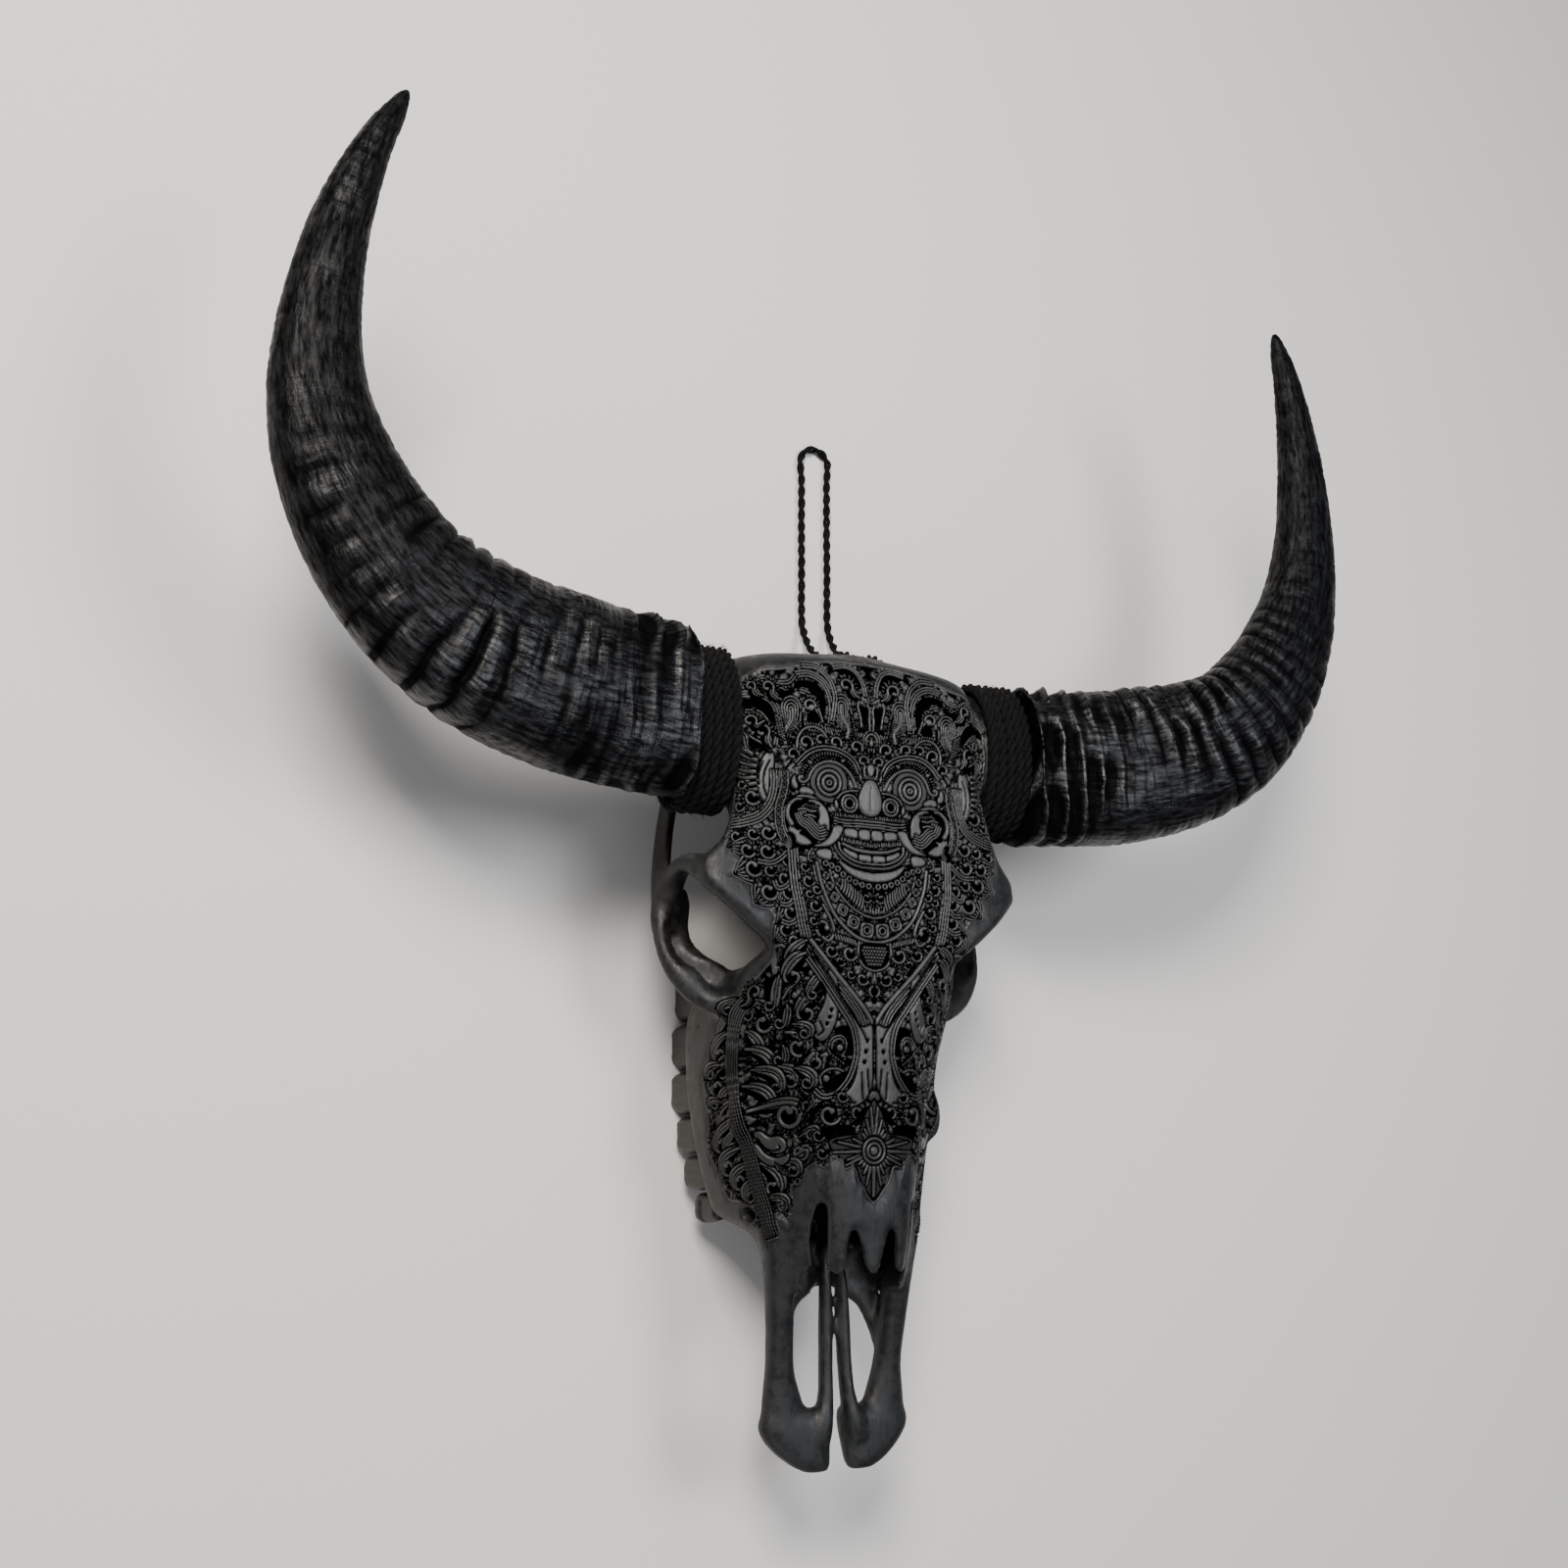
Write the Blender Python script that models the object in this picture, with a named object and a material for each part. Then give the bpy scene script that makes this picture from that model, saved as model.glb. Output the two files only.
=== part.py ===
"""Carved buffalo skull: the bare skull without its lower jaw, its twelve cheek teeth, two horns
on their bony cores, a rope binding round each core and a cord loop to hang it by.

The skull lies face up, on its teeth and on the two processes behind the ears. Metres. X runs
across the skull, Y from the muzzle to the poll, Z up and out of the face. Every form is given
from the tips of the nose bones, with heights from the face plane, the flat of the forehead and
nose. SKULL_FRAME carries all of it to the middle of the part's box, standing on Z = 0.
"""

from math import cos, pi, sin

import bmesh
import bpy
import numpy as np
from mathutils import Matrix, Vector

MM = 0.001

# Driving dimensions
FACE_HEIGHT = 150 * MM          # face plane above the teeth's grinding surface
MUZZLE_END = -129 * MM          # end of the premaxillae, in Y
OFF_CENTRE = 2.2 * MM            # the left horn reaches out further than the right one by twice this
GAP = 0.35 * MM                 # clearance kept between touching pieces
BONE_VOXEL = 2.6 * MM           # fineness at which the forms of the skull are fused
CUTTER_VOXEL = 3.0 * MM
THINNING = 0.0252               # share of the skull's faces that is kept

# Horns
HORN_RINGS = 38
HORN_SAG = {"left": -2 * MM, "right": 8 * MM}    # how far each horn's first half hangs
HORN_REACH = {"left": 0.5 * MM, "right": -4 * MM}  # how much wider each horn's outer half stands
HORN_SIDES = 12
RIDGE_PITCH = 17 * MM
RIDGE_DEPTH = 2.6 * MM
RIDGED_SHARE = 0.62             # share of the horn that carries ridges, from its base
CORE_CLEARANCE = 1.2 * MM

# Middle line of a horn's bony core with its half width and half thickness, in mm
CORE = [(94, 336, -36, 47, 29.5), (112, 337, -35, 46.5, 29.5), (130, 338, -31, 43, 26),
        (160, 340, -26, 38, 23), (190, 343, -17, 30, 18), (215, 346, -9, 21, 12),
        (232, 349, -4, 9, 6)]

# Rope bindings
ROPE_DIAMETER = 7 * MM
ROPE_TURNS = 5
BINDING_START = 94.5 * MM        # in X
BINDING_SIDES = 14

# Hanging cord
CORD_DIAMETER = 6 * MM
CORD_SPACING = 22 * MM
CORD_MIDDLE = 36.5 * MM           # the cord hangs this far to the right of the skull's middle

# Teeth: width along the row and height of the crown below its socket, front to back
TOOTH_LENGTHS = [20 * MM, 23 * MM, 25 * MM, 29 * MM, 31 * MM, 33 * MM]
TOOTH_TIPS = [-130 * MM, -138 * MM, -145 * MM, -150 * MM, -150 * MM, -148 * MM]
TOOTH_NAMES = ["premolar_1", "premolar_2", "premolar_3", "molar_1", "molar_2", "molar_3"]
TOOTH_ROW_START = 20 * MM       # in Y
TOOTH_ROOT = -108 * MM
SIDES = {"left": -1, "right": 1}


def material(name, colour, roughness):
    """A plain Principled material."""
    made = bpy.data.materials.new(name)
    made.use_nodes = True
    shader = made.node_tree.nodes["Principled BSDF"]
    shader.inputs["Base Color"].default_value = (*colour, 1)
    shader.inputs["Roughness"].default_value = roughness
    return made


def spline(points, steps, closed=False):
    """Catmull-Rom curve through points, with steps points to each span. Works on whole rows too."""
    points = np.asarray(points, float)
    count = len(points)
    if closed:
        padded = np.concatenate([points[-1:], points, points[:2]])
        spans = count
    else:
        first = 2 * points[:1] - points[1:2]
        last = 2 * points[-1:] - points[-2:-1]
        padded = np.concatenate([first, points, last])
        spans = count - 1
    made = []
    for i in range(spans):
        a, b, c, d = padded[i:i + 4]
        for t in np.arange(steps) / steps:
            made.append(0.5 * (2 * b + (c - a) * t + (2 * a - 5 * b + 4 * c - d) * t ** 2
                               + (3 * b - a - 3 * c + d) * t ** 3))
    if not closed:
        made.append(points[-1])
    return np.array(made)


def loft(bm, rings):
    """A closed solid through rings of equal length, capped at both ends."""
    rows = [[bm.verts.new(Vector(p)) for p in ring] for ring in rings]
    faces = [bm.faces.new(rows[0]), bm.faces.new(rows[-1])]
    for low, high in zip(rows, rows[1:]):
        for i in range(len(low)):
            j = (i + 1) % len(low)
            faces.append(bm.faces.new((low[i], low[j], high[j], high[i])))
    bmesh.ops.recalc_face_normals(bm, faces=faces)


def mirrored_profile(half, y):
    """A ring across the skull from half of its outline, (x, z) in mm from top middle to bottom middle."""
    right = [(x * MM, y * MM, z * MM) for x, z in half]
    left = [(-x, y_, z) for x, y_, z in reversed(right[1:-1])]
    return right + left


def sectioned(bm, stations, across=4, along=5):
    """A solid through mirrored outlines, given as {y in mm: half outline in mm}, made smooth both ways."""
    rings = np.array([mirrored_profile(half, y) for y, half in stations.items()])
    rings = spline(rings, along)
    loft(bm, [spline(ring, across, closed=True) for ring in rings])


def tube(bm, points, steps=6, sides=16, power=2.0, side=1, upright=(0, 0, 1)):
    """A solid that follows points (x, y, z, half width, half height), in mm, with oval sections.

    The half height is measured towards upright, and the half width across it.
    """
    path = spline(np.array(points, float) * MM, steps)
    path[:, 0] *= side
    rings = []
    for i, (x, y, z, wide, high) in enumerate(path):
        before, after = path[max(i - 1, 0)][:3], path[min(i + 1, len(path) - 1)][:3]
        along = Vector(after - before).normalized()
        across = along.cross(Vector(upright)).normalized()
        up = across.cross(along)
        rings.append([Vector((x, y, z)) + across * wide * rounded(cos(a), power)
                      + up * high * rounded(sin(a), power)
                      for a in (2 * pi * k / sides for k in range(sides))])
    loft(bm, rings)


def rounded(value, power):
    """A cosine or sine squared off: power 2 gives an oval section, and more gives a boxier one."""
    return (abs(value) ** (2 / power)) * (1 if value >= 0 else -1)


def slab(bm, stations, side=1, sides=28):
    """A flat rounded form given as {y: (inner x, outer x, middle z, half thickness)}, in mm."""
    rows = spline([[y, *row] for y, row in stations.items()], 3) * MM
    rings = []
    for y, inner, outer, z, high in rows:
        reach = (outer - inner) / 2
        rings.append([(side * (inner + reach + reach * rounded(cos(a), 2.8)), y,
                       z + high * rounded(sin(a), 2.8))
                      for a in (2 * pi * k / sides for k in range(sides))])
    loft(bm, rings)


def blob(bm, centre, radii, side=1, turn=0.0, axis="Z"):
    """An ellipsoid, in mm, turned about one axis."""
    x, y, z = (c * MM for c in centre)
    place = Matrix.Translation((x * side, y, z)) @ Matrix.Rotation(turn * side, 4, axis)
    size = Matrix.Diagonal([r * MM for r in radii] + [1])
    bmesh.ops.create_icosphere(bm, subdivisions=3, radius=1, matrix=place @ size)


def add_object(name, bm, finish=None, smooth=True):
    """Puts a bmesh in the scene as an object."""
    mesh = bpy.data.meshes.new(name)
    bm.to_mesh(mesh)
    bm.free()
    made = bpy.data.objects.new(name, mesh)
    bpy.context.scene.collection.objects.link(made)
    made.parent = SKULL_FRAME
    if finish:
        mesh.materials.append(finish)
    else:
        made.hide_render = True
        made.display_type = "WIRE"
    if smooth:
        mesh.shade_smooth()
    return made


def fuse(made, voxel, rounds, factor=0.5):
    """Fuses overlapping forms into one skin and softens their creases."""
    remesh = made.modifiers.new("fuse", "REMESH")
    remesh.mode = "VOXEL"
    remesh.voxel_size = voxel
    soften = made.modifiers.new("soften", "SMOOTH")
    soften.factor = factor
    soften.iterations = rounds


def combine(made, other, operation="DIFFERENCE"):
    """Takes another form out of an object, or adds it."""
    modifier = made.modifiers.new(other.name, "BOOLEAN")
    modifier.operation = operation
    modifier.object = other
    modifier.solver = "EXACT"


# Skull

def braincase_and_forehead(bm):
    """The flat forehead with its poll, and the narrower braincase under it."""
    sectioned(bm, {
        391: [(0, -10), (36, -12), (62, -22), (74, -42), (50, -62), (0, -64)],
        383: [(0, -3), (46, -3), (78, -12), (92, -42), (60, -76), (0, -80)],
        366: [(0, 1), (56, 1), (84, -6), (89, -40), (64, -84), (0, -88)],
        340: [(0, 3), (56, 2), (85, -4), (88, -38), (62, -82), (0, -88)],
        312: [(0, 4), (56, 2), (86, -4), (89, -34), (66, -70), (0, -78)],
        284: [(0, 4), (56, 3), (92, -3), (93, -20), (76, -46), (0, -66)],
        262: [(0, 4), (56, 3), (99, -3), (99, -18), (68, -38), (0, -64)],
        244: [(0, 4), (56, 3), (112, -7), (112, -20), (60, -34), (0, -62)],
        226: [(0, 4), (58, 3), (102, -3), (100, -16), (56, -34), (0, -62)],
        206: [(0, 4), (56, 3), (82, -1), (78, -15), (48, -34), (0, -60)],
        190: [(0, 3), (50, 2), (67, -5), (64, -20), (44, -40), (0, -60)],
    })
    sectioned(bm, {
        380: [(0, -14), (60, -26), (82, -58), (70, -98), (30, -112), (0, -112)],
        366: [(0, -14), (62, -24), (86, -58), (74, -102), (34, -118), (0, -116)],
        346: [(0, -20), (58, -24), (80, -56), (70, -100), (30, -116), (0, -116)],
        320: [(0, -20), (50, -30), (66, -56), (54, -94), (22, -114), (0, -115)],
        286: [(0, -20), (44, -30), (56, -56), (42, -90), (17, -112), (0, -113)],
        250: [(0, -20), (40, -30), (42, -52), (32, -84), (12, -106), (0, -107)],
        215: [(0, -20), (40, -28), (36, -50), (24, -80), (11, -100), (0, -102)],
    })


def occiput(bm):
    """The back of the skull: the condyles and what stands on the ground behind the ears."""
    for side in SIDES.values():
        blob(bm, (25, 382, -116), (17, 15, 21), side, 0.4)
        blob(bm, (64, 352, -86), (22, 24, 26), side)
        blob(bm, (40, 326, -112), (15, 24, 14), side)
        tube(bm, [(52, 368, -92, 15, 9), (54, 362, -118, 13, 8), (52, 358, -138, 10, 7),
                  (51, 356, -152, 8.5, 7)], side=side, upright=(0, 1, 0), power=3)
        tube(bm, [(0, 388, -18, 9, 7), (42, 384, -22, 8, 7), (72, 373, -48, 9, 8),
                  (82, 363, -78, 9, 8)], side=side)
    blob(bm, (0, 390, -40), (16, 9, 22))


def horn_cores(bm):
    """The bony cores that the horns sit on, and their necks under the bindings."""
    for side in SIDES.values():
        tube(bm, [(58, 334, -38, 44, 29), (78, 335, -37, 46, 29.5)] + CORE, side=side, sides=24)


def face(bm):
    """The nose bones and the upper jaw in front of the eyes, down to the sockets of the teeth."""
    sectioned(bm, {
        226: [(0, 3), (46, 2), (50, -20), (32, -54), (12, -94), (0, -98)],
        206: [(0, 3), (50, 2), (64, -14), (36, -56), (14, -100), (0, -102)],
        193: [(0, 3), (50, 2), (70, -18), (48, -56), (26, -104), (0, -102)],
        181: [(0, 3), (48, 1), (76, -24), (72, -58), (62, -110), (0, -101)],
        158: [(0, 2), (42, -1), (74, -28), (82, -60), (75, -117), (0, -99)],
        128: [(0, 2), (36, -3), (64, -28), (79, -58), (77, -119), (0, -97)],
        96: [(0, 1), (33, -3), (55, -27), (75, -56), (75, -118), (0, -94)],
        64: [(0, 0), (30, -3), (49, -27), (68, -52), (71, -114), (0, -91)],
        38: [(0, -1), (28, -4), (45, -27), (62, -48), (66, -108), (0, -87)],
        26: [(0, -1), (27, -4), (43, -27), (60, -47), (61, -103), (0, -85)],
        14: [(0, -2), (26, -5), (42, -28), (58, -46), (43, -80), (0, -82)],
        -6: [(0, -2), (22, -6), (41, -32), (53, -46), (38, -73), (0, -78)],
        -20: [(0, -4), (20, -10), (40, -38), (49, -49), (34, -68), (0, -74)],
    })
    for side in SIDES.values():
        # facial tuber, a low knob above the first molars
        blob(bm, (69, 94, -50), (9, 20, 11), side, 0.15)


def eye_sockets(bm):
    """The rims that stand out round the eyes, and the cheek arches behind them."""
    for side in SIDES.values():
        # lower rim and cheek bone
        tube(bm, [(78, 158, -48, 7, 7), (92, 164, -56, 7, 9), (103, 174, -60, 6.5, 10),
                  (111, 188, -64, 6, 10.5), (114, 204, -69, 5.5, 11), (114, 221, -74, 5.5, 11),
                  (113, 237, -70, 6, 10), (113, 247, -54, 6, 8), (114, 248, -36, 6.5, 8),
                  (114, 243, -18, 9, 8)], side=side, upright=(1, 0, 0.25))
        # floor of the socket, a thin shelf that runs inwards and down from the lower rim
        tube(bm, [(72, 167, -60, 4.5, 14), (88, 179, -71, 4.5, 16), (98, 198, -77, 4.5, 18),
                  (101, 219, -82, 4.5, 17), (104, 238, -80, 4.5, 10)], side=side,
             upright=(-0.87, 0.1, -0.48), power=3)
        # arch back to the ear
        tube(bm, [(114, 222, -82, 5, 12), (112, 248, -88, 5, 12), (106, 282, -96, 5, 11),
                  (98, 310, -100, 6, 10), (84, 334, -94, 12, 11), (66, 350, -86, 16, 14)], side=side)
        # upper rim, from the nose side round to the bar behind the eye
        tube(bm, [(58, 189, -16, 8, 9), (69, 200, -6, 7, 8), (83, 211, -5, 7, 7),
                  (98, 224, -7, 7, 7), (113, 239, -15, 8, 8)], side=side)
        # tear bone between the two rims
        blob(bm, (64, 170, -38), (14, 14, 20), side)


def palate_walls(bm):
    """Thin upright plates under the braincase, behind the last teeth."""
    for side in SIDES.values():
        tube(bm, [(24, 178, -104, 5, 10), (16, 202, -106, 3.5, 10), (14, 226, -108, 3.5, 10),
                  (14, 248, -108, 4, 7)], side=side, power=3)


def premaxillae(bm):
    """The outer bars and flared ends of the paired bones at the end of the muzzle."""
    for side in SIDES.values():
        tube(bm, [(50, 26, -42, 8, 10), (45.5, -4, -47, 9, 10), (42, -30, -50, 9.5, 9.5),
                  (39.5, -64, -55, 9.5, 9), (38, -82, -56, 13, 9), (36, -96, -56, 16, 9)], side=side)
        # flared end, longest beside the middle of the muzzle
        slab(bm, {-92: (2.4, 50, -56, 7), -99: (2.8, 53.5, -56, 9.5), -106: (3.4, 52.5, -55.5, 9.5),
                  -113: (4.2, 47.5, -54.5, 9), -120: (5, 40, -53, 8), -126: (5.8, 31, -51.5, 6.5),
                  -130: (7, 22, -50, 4)}, side)


def inner_bones(bm):
    """What stands inside the nose and between the flared ends: thin bars, ridges and scrolls."""
    for side in SIDES.values():
        tube(bm, [(3.5, 6, -62, 2.4, 5), (5.4, -8, -57, 3.6, 5.5), (6.3, -34, -55, 4.7, 5.5),
                  (6.8, -62, -54, 4.9, 5.5), (8, -84, -52, 5.2, 6), (11, -100, -50, 7, 7),
                  (14, -112, -50, 8, 7)], side=side)
        # palate in front of the nose, with a slanting edge
        tube(bm, [(22, 10, -74, 22, 3.5), (21, -10, -70, 18, 3.5), (30, -26, -65, 10, 3.5),
                  (35, -44, -61, 7, 3.5), (38, -62, -58, 5, 3.5)], side=side, power=3)
        # scrolls of the nose
        tube(bm, [(22, 4, -60, 3, 10), (25, 30, -52, 5, 13), (27, 70, -50, 7, 16),
                  (28, 120, -52, 8, 18)], side=side)
    tube(bm, [(0, -6, -62, 4, 5), (0, 20, -64, 3.4, 12), (0, 70, -62, 3, 22), (0, 150, -64, 3, 30)])


def hollows(bm):
    """What is open in the skull, as one form to cut away."""
    # nose cavity, from its front opening back to the throat
    sectioned(bm, {
        -50: [(0, 40), (22, 30), (30, -10), (31, -45), (28, -66), (0, -67)],
        -22: [(0, 34), (24, 26), (33, -8), (33, -44), (30, -68), (0, -70)],
        -12: [(0, 14), (24, 10), (36, -14), (36, -44), (30, -69), (0, -72)],
        -5: [(0, -7), (18, -10), (34, -24), (38, -46), (30, -70), (0, -74)],
        14: [(0, -8), (20, -10), (36, -26), (46, -46), (38, -76), (0, -78)],
        50: [(0, -8), (20, -11), (38, -28), (54, -54), (42, -80), (0, -82)],
        110: [(0, -8), (24, -12), (46, -34), (60, -60), (46, -84), (0, -86)],
        160: [(0, -14), (26, -18), (42, -40), (46, -64), (30, -90), (0, -92)],
        190: [(0, -34), (18, -40), (22, -60), (18, -78), (12, -94), (0, -96)],
    }, along=4)
    # throat opening between the palate walls
    tube(bm, [(0, 176, -84, 14, 12), (0, 200, -108, 14, 16), (0, 226, -134, 15, 16)], upright=(0, 1, 1))
    # vault of the palate between the rows of teeth
    tube(bm, [(0, -40, -98, 26, 10), (0, 20, -114, 38, 16), (0, 70, -128, 43, 26),
              (0, 130, -132, 45, 30), (0, 172, -134, 42, 26), (0, 196, -142, 34, 20)], power=2.6)
    # great hole for the spine
    tube(bm, [(0, 404, -110, 17, 15), (0, 378, -106, 16, 14), (0, 345, -92, 15, 13),
              (0, 325, -84, 8, 8)])
    for side in SIDES.values():
        # slit beside the nose bones, and the notch that forks each of their tips
        tube(bm, [(36, -14, 6, 10, 24), (35, 10, 4, 7.5, 24), (33, 30, 2, 4.5, 22),
                  (31.5, 40, 0, 2.5, 18)], side=side)
        tube(bm, [(11.5, -18, 0, 8.5, 14), (12, -2, 0, 7, 14), (13.5, 13, 0, 3.8, 14),
                  (14, 22, 0, 1.8, 12)], side=side)
        # small opening pierced through the side of the muzzle
        blob(bm, (58, 28, -57), (14, 5, 7), side)
        # eye socket, opening to the side and running inwards
        blob(bm, (97, 212, -44), (28, 33, 33), side, 0.25)
        blob(bm, (73, 211, -54), (34, 25, 36), side, 0.35)
        # space behind the eye, open downwards inside the cheek arch
        tube(bm, [(77, 226, -62, 25, 18), (76, 250, -70, 26, 24), (78, 276, -80, 20, 24),
                  (78, 296, -86, 13, 16)], side=side)
        tube(bm, [(72, 226, -70, 22, 18), (72, 232, -100, 24, 24), (74, 238, -136, 30, 30)],
             side=side, upright=(0, 1, 0))


def socket_cutters(bm):
    """A socket for each tooth and a seat for each binding, a little larger, and the cord's two holes.

    What would reach under the ground is taken off as well, so both processes stand flat on it.
    """
    start = BINDING_START - GAP
    end = BINDING_START + ROPE_TURNS * ROPE_DIAMETER
    seat = [(start, 14 * MM), (end, 14 * MM), (end, 0.7 * MM), (start, 0.7 * MM)]
    for side in SIDES.values():
        sleeve(bm, side, seat, BINDING_SIDES)
        for place in tooth_places():
            loft(bm, tooth_rings(place, side, GAP))
    for x in (CORD_MIDDLE - CORD_SPACING / 2, CORD_MIDDLE + CORD_SPACING / 2):
        hole = CORD_DIAMETER / 2 / MM + 0.6
        tube(bm, [(x / MM, 372, -60, hole, hole), (x / MM, 402, -63.5, hole, hole)], steps=1, sides=10)
    under = Matrix.Translation((0, 356 * MM, -FACE_HEIGHT - 20 * MM))
    bmesh.ops.create_cube(bm, size=1, matrix=under @ Matrix.Diagonal((160 * MM, 60 * MM, 40 * MM, 1)))


def tooth_places():
    """Middle, width and outward offset of each tooth in the row, front to back."""
    y = TOOTH_ROW_START
    places = []
    for length, tip in zip(TOOTH_LENGTHS, TOOTH_TIPS):
        middle = y + length / 2
        bow = (middle - 120 * MM) / (90 * MM)
        places.append((75 * MM - 10 * MM * bow ** 2 * (1 if bow < 0 else 0.3), middle, length, tip))
        y += length + 1.2 * MM
    return places


def tooth_rings(place, side, grow=0.0):
    """A tooth: a waisted two-lobed crown that leans outwards a little and tapers to its root."""
    outer, middle, length, tip = place
    molar = length > 24 * MM
    width = (19 if molar else 14) * MM
    rings = []
    levels = [(TOOTH_ROOT, 0.80), (TOOTH_ROOT - 10 * MM, 0.96), (tip + 8 * MM, 1.0), (tip, 0.93)]
    sides = 10
    for z, share in levels:
        ring = []
        lean = (TOOTH_ROOT - z) * 0.06
        for k in range(sides):
            angle = 2 * pi * k / sides
            lobes = 1 - (0.12 if molar else 0.04) * (1 + cos(4 * angle)) * abs(sin(angle))
            x = outer + lean - width / 2 + (width / 2 * share * lobes + grow) * sin(angle)
            y = middle + (length / 2 * share + grow) * rounded(cos(angle), 2.6)
            ring.append((x * side, y, z))
        rings.append(ring)
    top = rings[0]
    if grow:
        rings[0] = [(x, y, z + grow) for x, y, z in top]
        rings.append([(x, y, z - 10 * MM) for x, y, z in rings[-1]])
    return rings


def build_skull(finish):
    bm = bmesh.new()
    for form in (braincase_and_forehead, occiput, horn_cores, face, eye_sockets, palate_walls,
                 premaxillae):
        form(bm)
    skull = add_object("skull", bm, finish)
    fuse(skull, BONE_VOXEL, 7)

    bm = bmesh.new()
    hollows(bm)
    cavities = add_object("cavities", bm)
    fuse(cavities, CUTTER_VOXEL, 3)
    combine(skull, cavities)

    bm = bmesh.new()
    inner_bones(bm)
    inner = add_object("inner_bones", bm)
    fuse(inner, 2 * MM, 2)
    combine(skull, inner, "UNION")
    fuse(skull, BONE_VOXEL, 4)

    thin = skull.modifiers.new("thin", "DECIMATE")
    thin.ratio = THINNING
    thin.use_collapse_triangulate = True

    bm = bmesh.new()
    socket_cutters(bm)
    sockets = add_object("sockets", bm, smooth=False)
    combine(skull, sockets)
    return skull


def build_teeth(finish):
    for word, side in SIDES.items():
        for name, place in zip(TOOTH_NAMES, tooth_places()):
            bm = bmesh.new()
            loft(bm, tooth_rings(place, side))
            tooth = add_object(f"{name}_{word}", bm, finish)
            tooth.data.set_sharp_from_angle(angle=0.7)


# Horns

# Middle line of a horn with its half width and half thickness, in mm, from its edge to its tip
HORN_LINE = [
    (129, 339, -24, 56, 37), (170, 342, -18, 57, 37), (217, 347, -9, 56.5, 35),
    (264, 358, 1, 53, 32.5), (306, 379, 9, 47.5, 30), (339, 413, 13, 42, 27.5),
    (362, 452, 16, 36, 24.5), (374, 490, 19, 30, 21.5), (377, 529, 23, 25, 18.5),
    (374, 568, 27, 21, 16), (367, 606, 31, 17, 13.5), (355.5, 644, 36, 12, 10),
    (345, 668, 39, 8, 7), (340, 679, 41, 4.4, 4), (338, 683, 41.5, 1.6, 1.6),
]


def horn_rings(word, sides=HORN_SIDES, count=HORN_RINGS):
    """Rings along the horn. Its front face is broad and flat, with a keen edge on the outer side."""
    side = SIDES[word]
    fine = spline(np.array(HORN_LINE, float) * MM, 24)
    share = np.linspace(0, 1, len(fine))
    fine[:, 1] -= HORN_SAG[word] * np.clip(1.25 - 1.6 * share, 0, 1) ** 0.8
    fine[:, 0] += HORN_REACH[word] * np.sin(pi * np.clip(1.3 * share - 0.1, 0, 1))
    step = np.linalg.norm(np.diff(fine[:, :3], axis=0), axis=1)
    run = np.concatenate([[0], np.cumsum(step)])
    # rings lie closer together where the ridges are
    share = np.linspace(0, 1, count) ** 1.18
    at = share * run[-1]
    line = np.stack([np.interp(at, run, fine[:, k]) for k in range(5)], axis=1)
    rings = []
    for i, (x, y, z, wide, high) in enumerate(line):
        along = Vector(line[min(i + 1, count - 1)][:3] - line[max(i - 1, 0)][:3]).normalized()
        if i == 0:
            # the edge stands square to the binding beside it
            along = Vector((1, 0, 0))
        across = along.cross(Vector((0, 0, 1))).normalized()
        up = across.cross(along)
        fade = max(0.0, 1 - share[i] / RIDGED_SHARE)
        ridge = RIDGE_DEPTH * min(1, 2.2 * fade) * cos(2 * pi * at[i] / RIDGE_PITCH)
        ring = []
        for k in range(sides):
            a = 2 * pi * k / sides
            power = 2 + 0.9 * (1 - share[i])
            u, v = rounded(cos(a), power), rounded(sin(a), power)
            # the underside is narrower, so the outer front edge stands out
            lean = 1 - 0.16 * (1 - share[i]) * max(0, -v)
            reach = 1 + ridge / wide * (0.4 + 0.6 * max(0, u * 0.6 + v * 0.8))
            p = Vector((x, y, z)) + across * (wide * u * lean * reach) + up * (high * v * reach)
            ring.append(Vector((p.x * side, p.y, p.z)))
        rings.append(ring)
    return rings


def build_horn(word, side, finish):
    bm = bmesh.new()
    loft(bm, horn_rings(word))
    horn = add_object(f"horn_{word}", bm, finish)
    horn.data.set_sharp_from_angle(angle=0.9)

    # socket that sleeves over the bony core
    bm = bmesh.new()
    grow = CORE_CLEARANCE / MM
    grown = [(x, y, z, wide + grow, high + grow) for x, y, z, wide, high in CORE]
    tube(bm, grown[1:-1] + [(234, 349, -3, 11 + grow, 7 + grow)], side=side, sides=14, steps=2)
    socket = add_object(f"socket_{word}", bm)
    combine(horn, socket)


# Rope and cord

def sleeve(bm, side, profile, sides):
    """A closed band round the neck of a core. Its profile gives x and the distance off the bone."""
    rows = []
    for k in range(sides):
        a = 2 * pi * k / sides
        rows.append([bm.verts.new((x * side, 336.5 * MM + (47 * MM + out) * cos(a),
                                   -35.5 * MM + (29.5 * MM + out) * sin(a))) for x, out in profile])
    for k in range(sides):
        row, other = rows[k], rows[(k + 1) % sides]
        for i in range(len(profile)):
            j = (i + 1) % len(profile)
            bm.faces.new((row[i], row[j], other[j], other[i]))
    bmesh.ops.recalc_face_normals(bm, faces=bm.faces)


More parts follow.
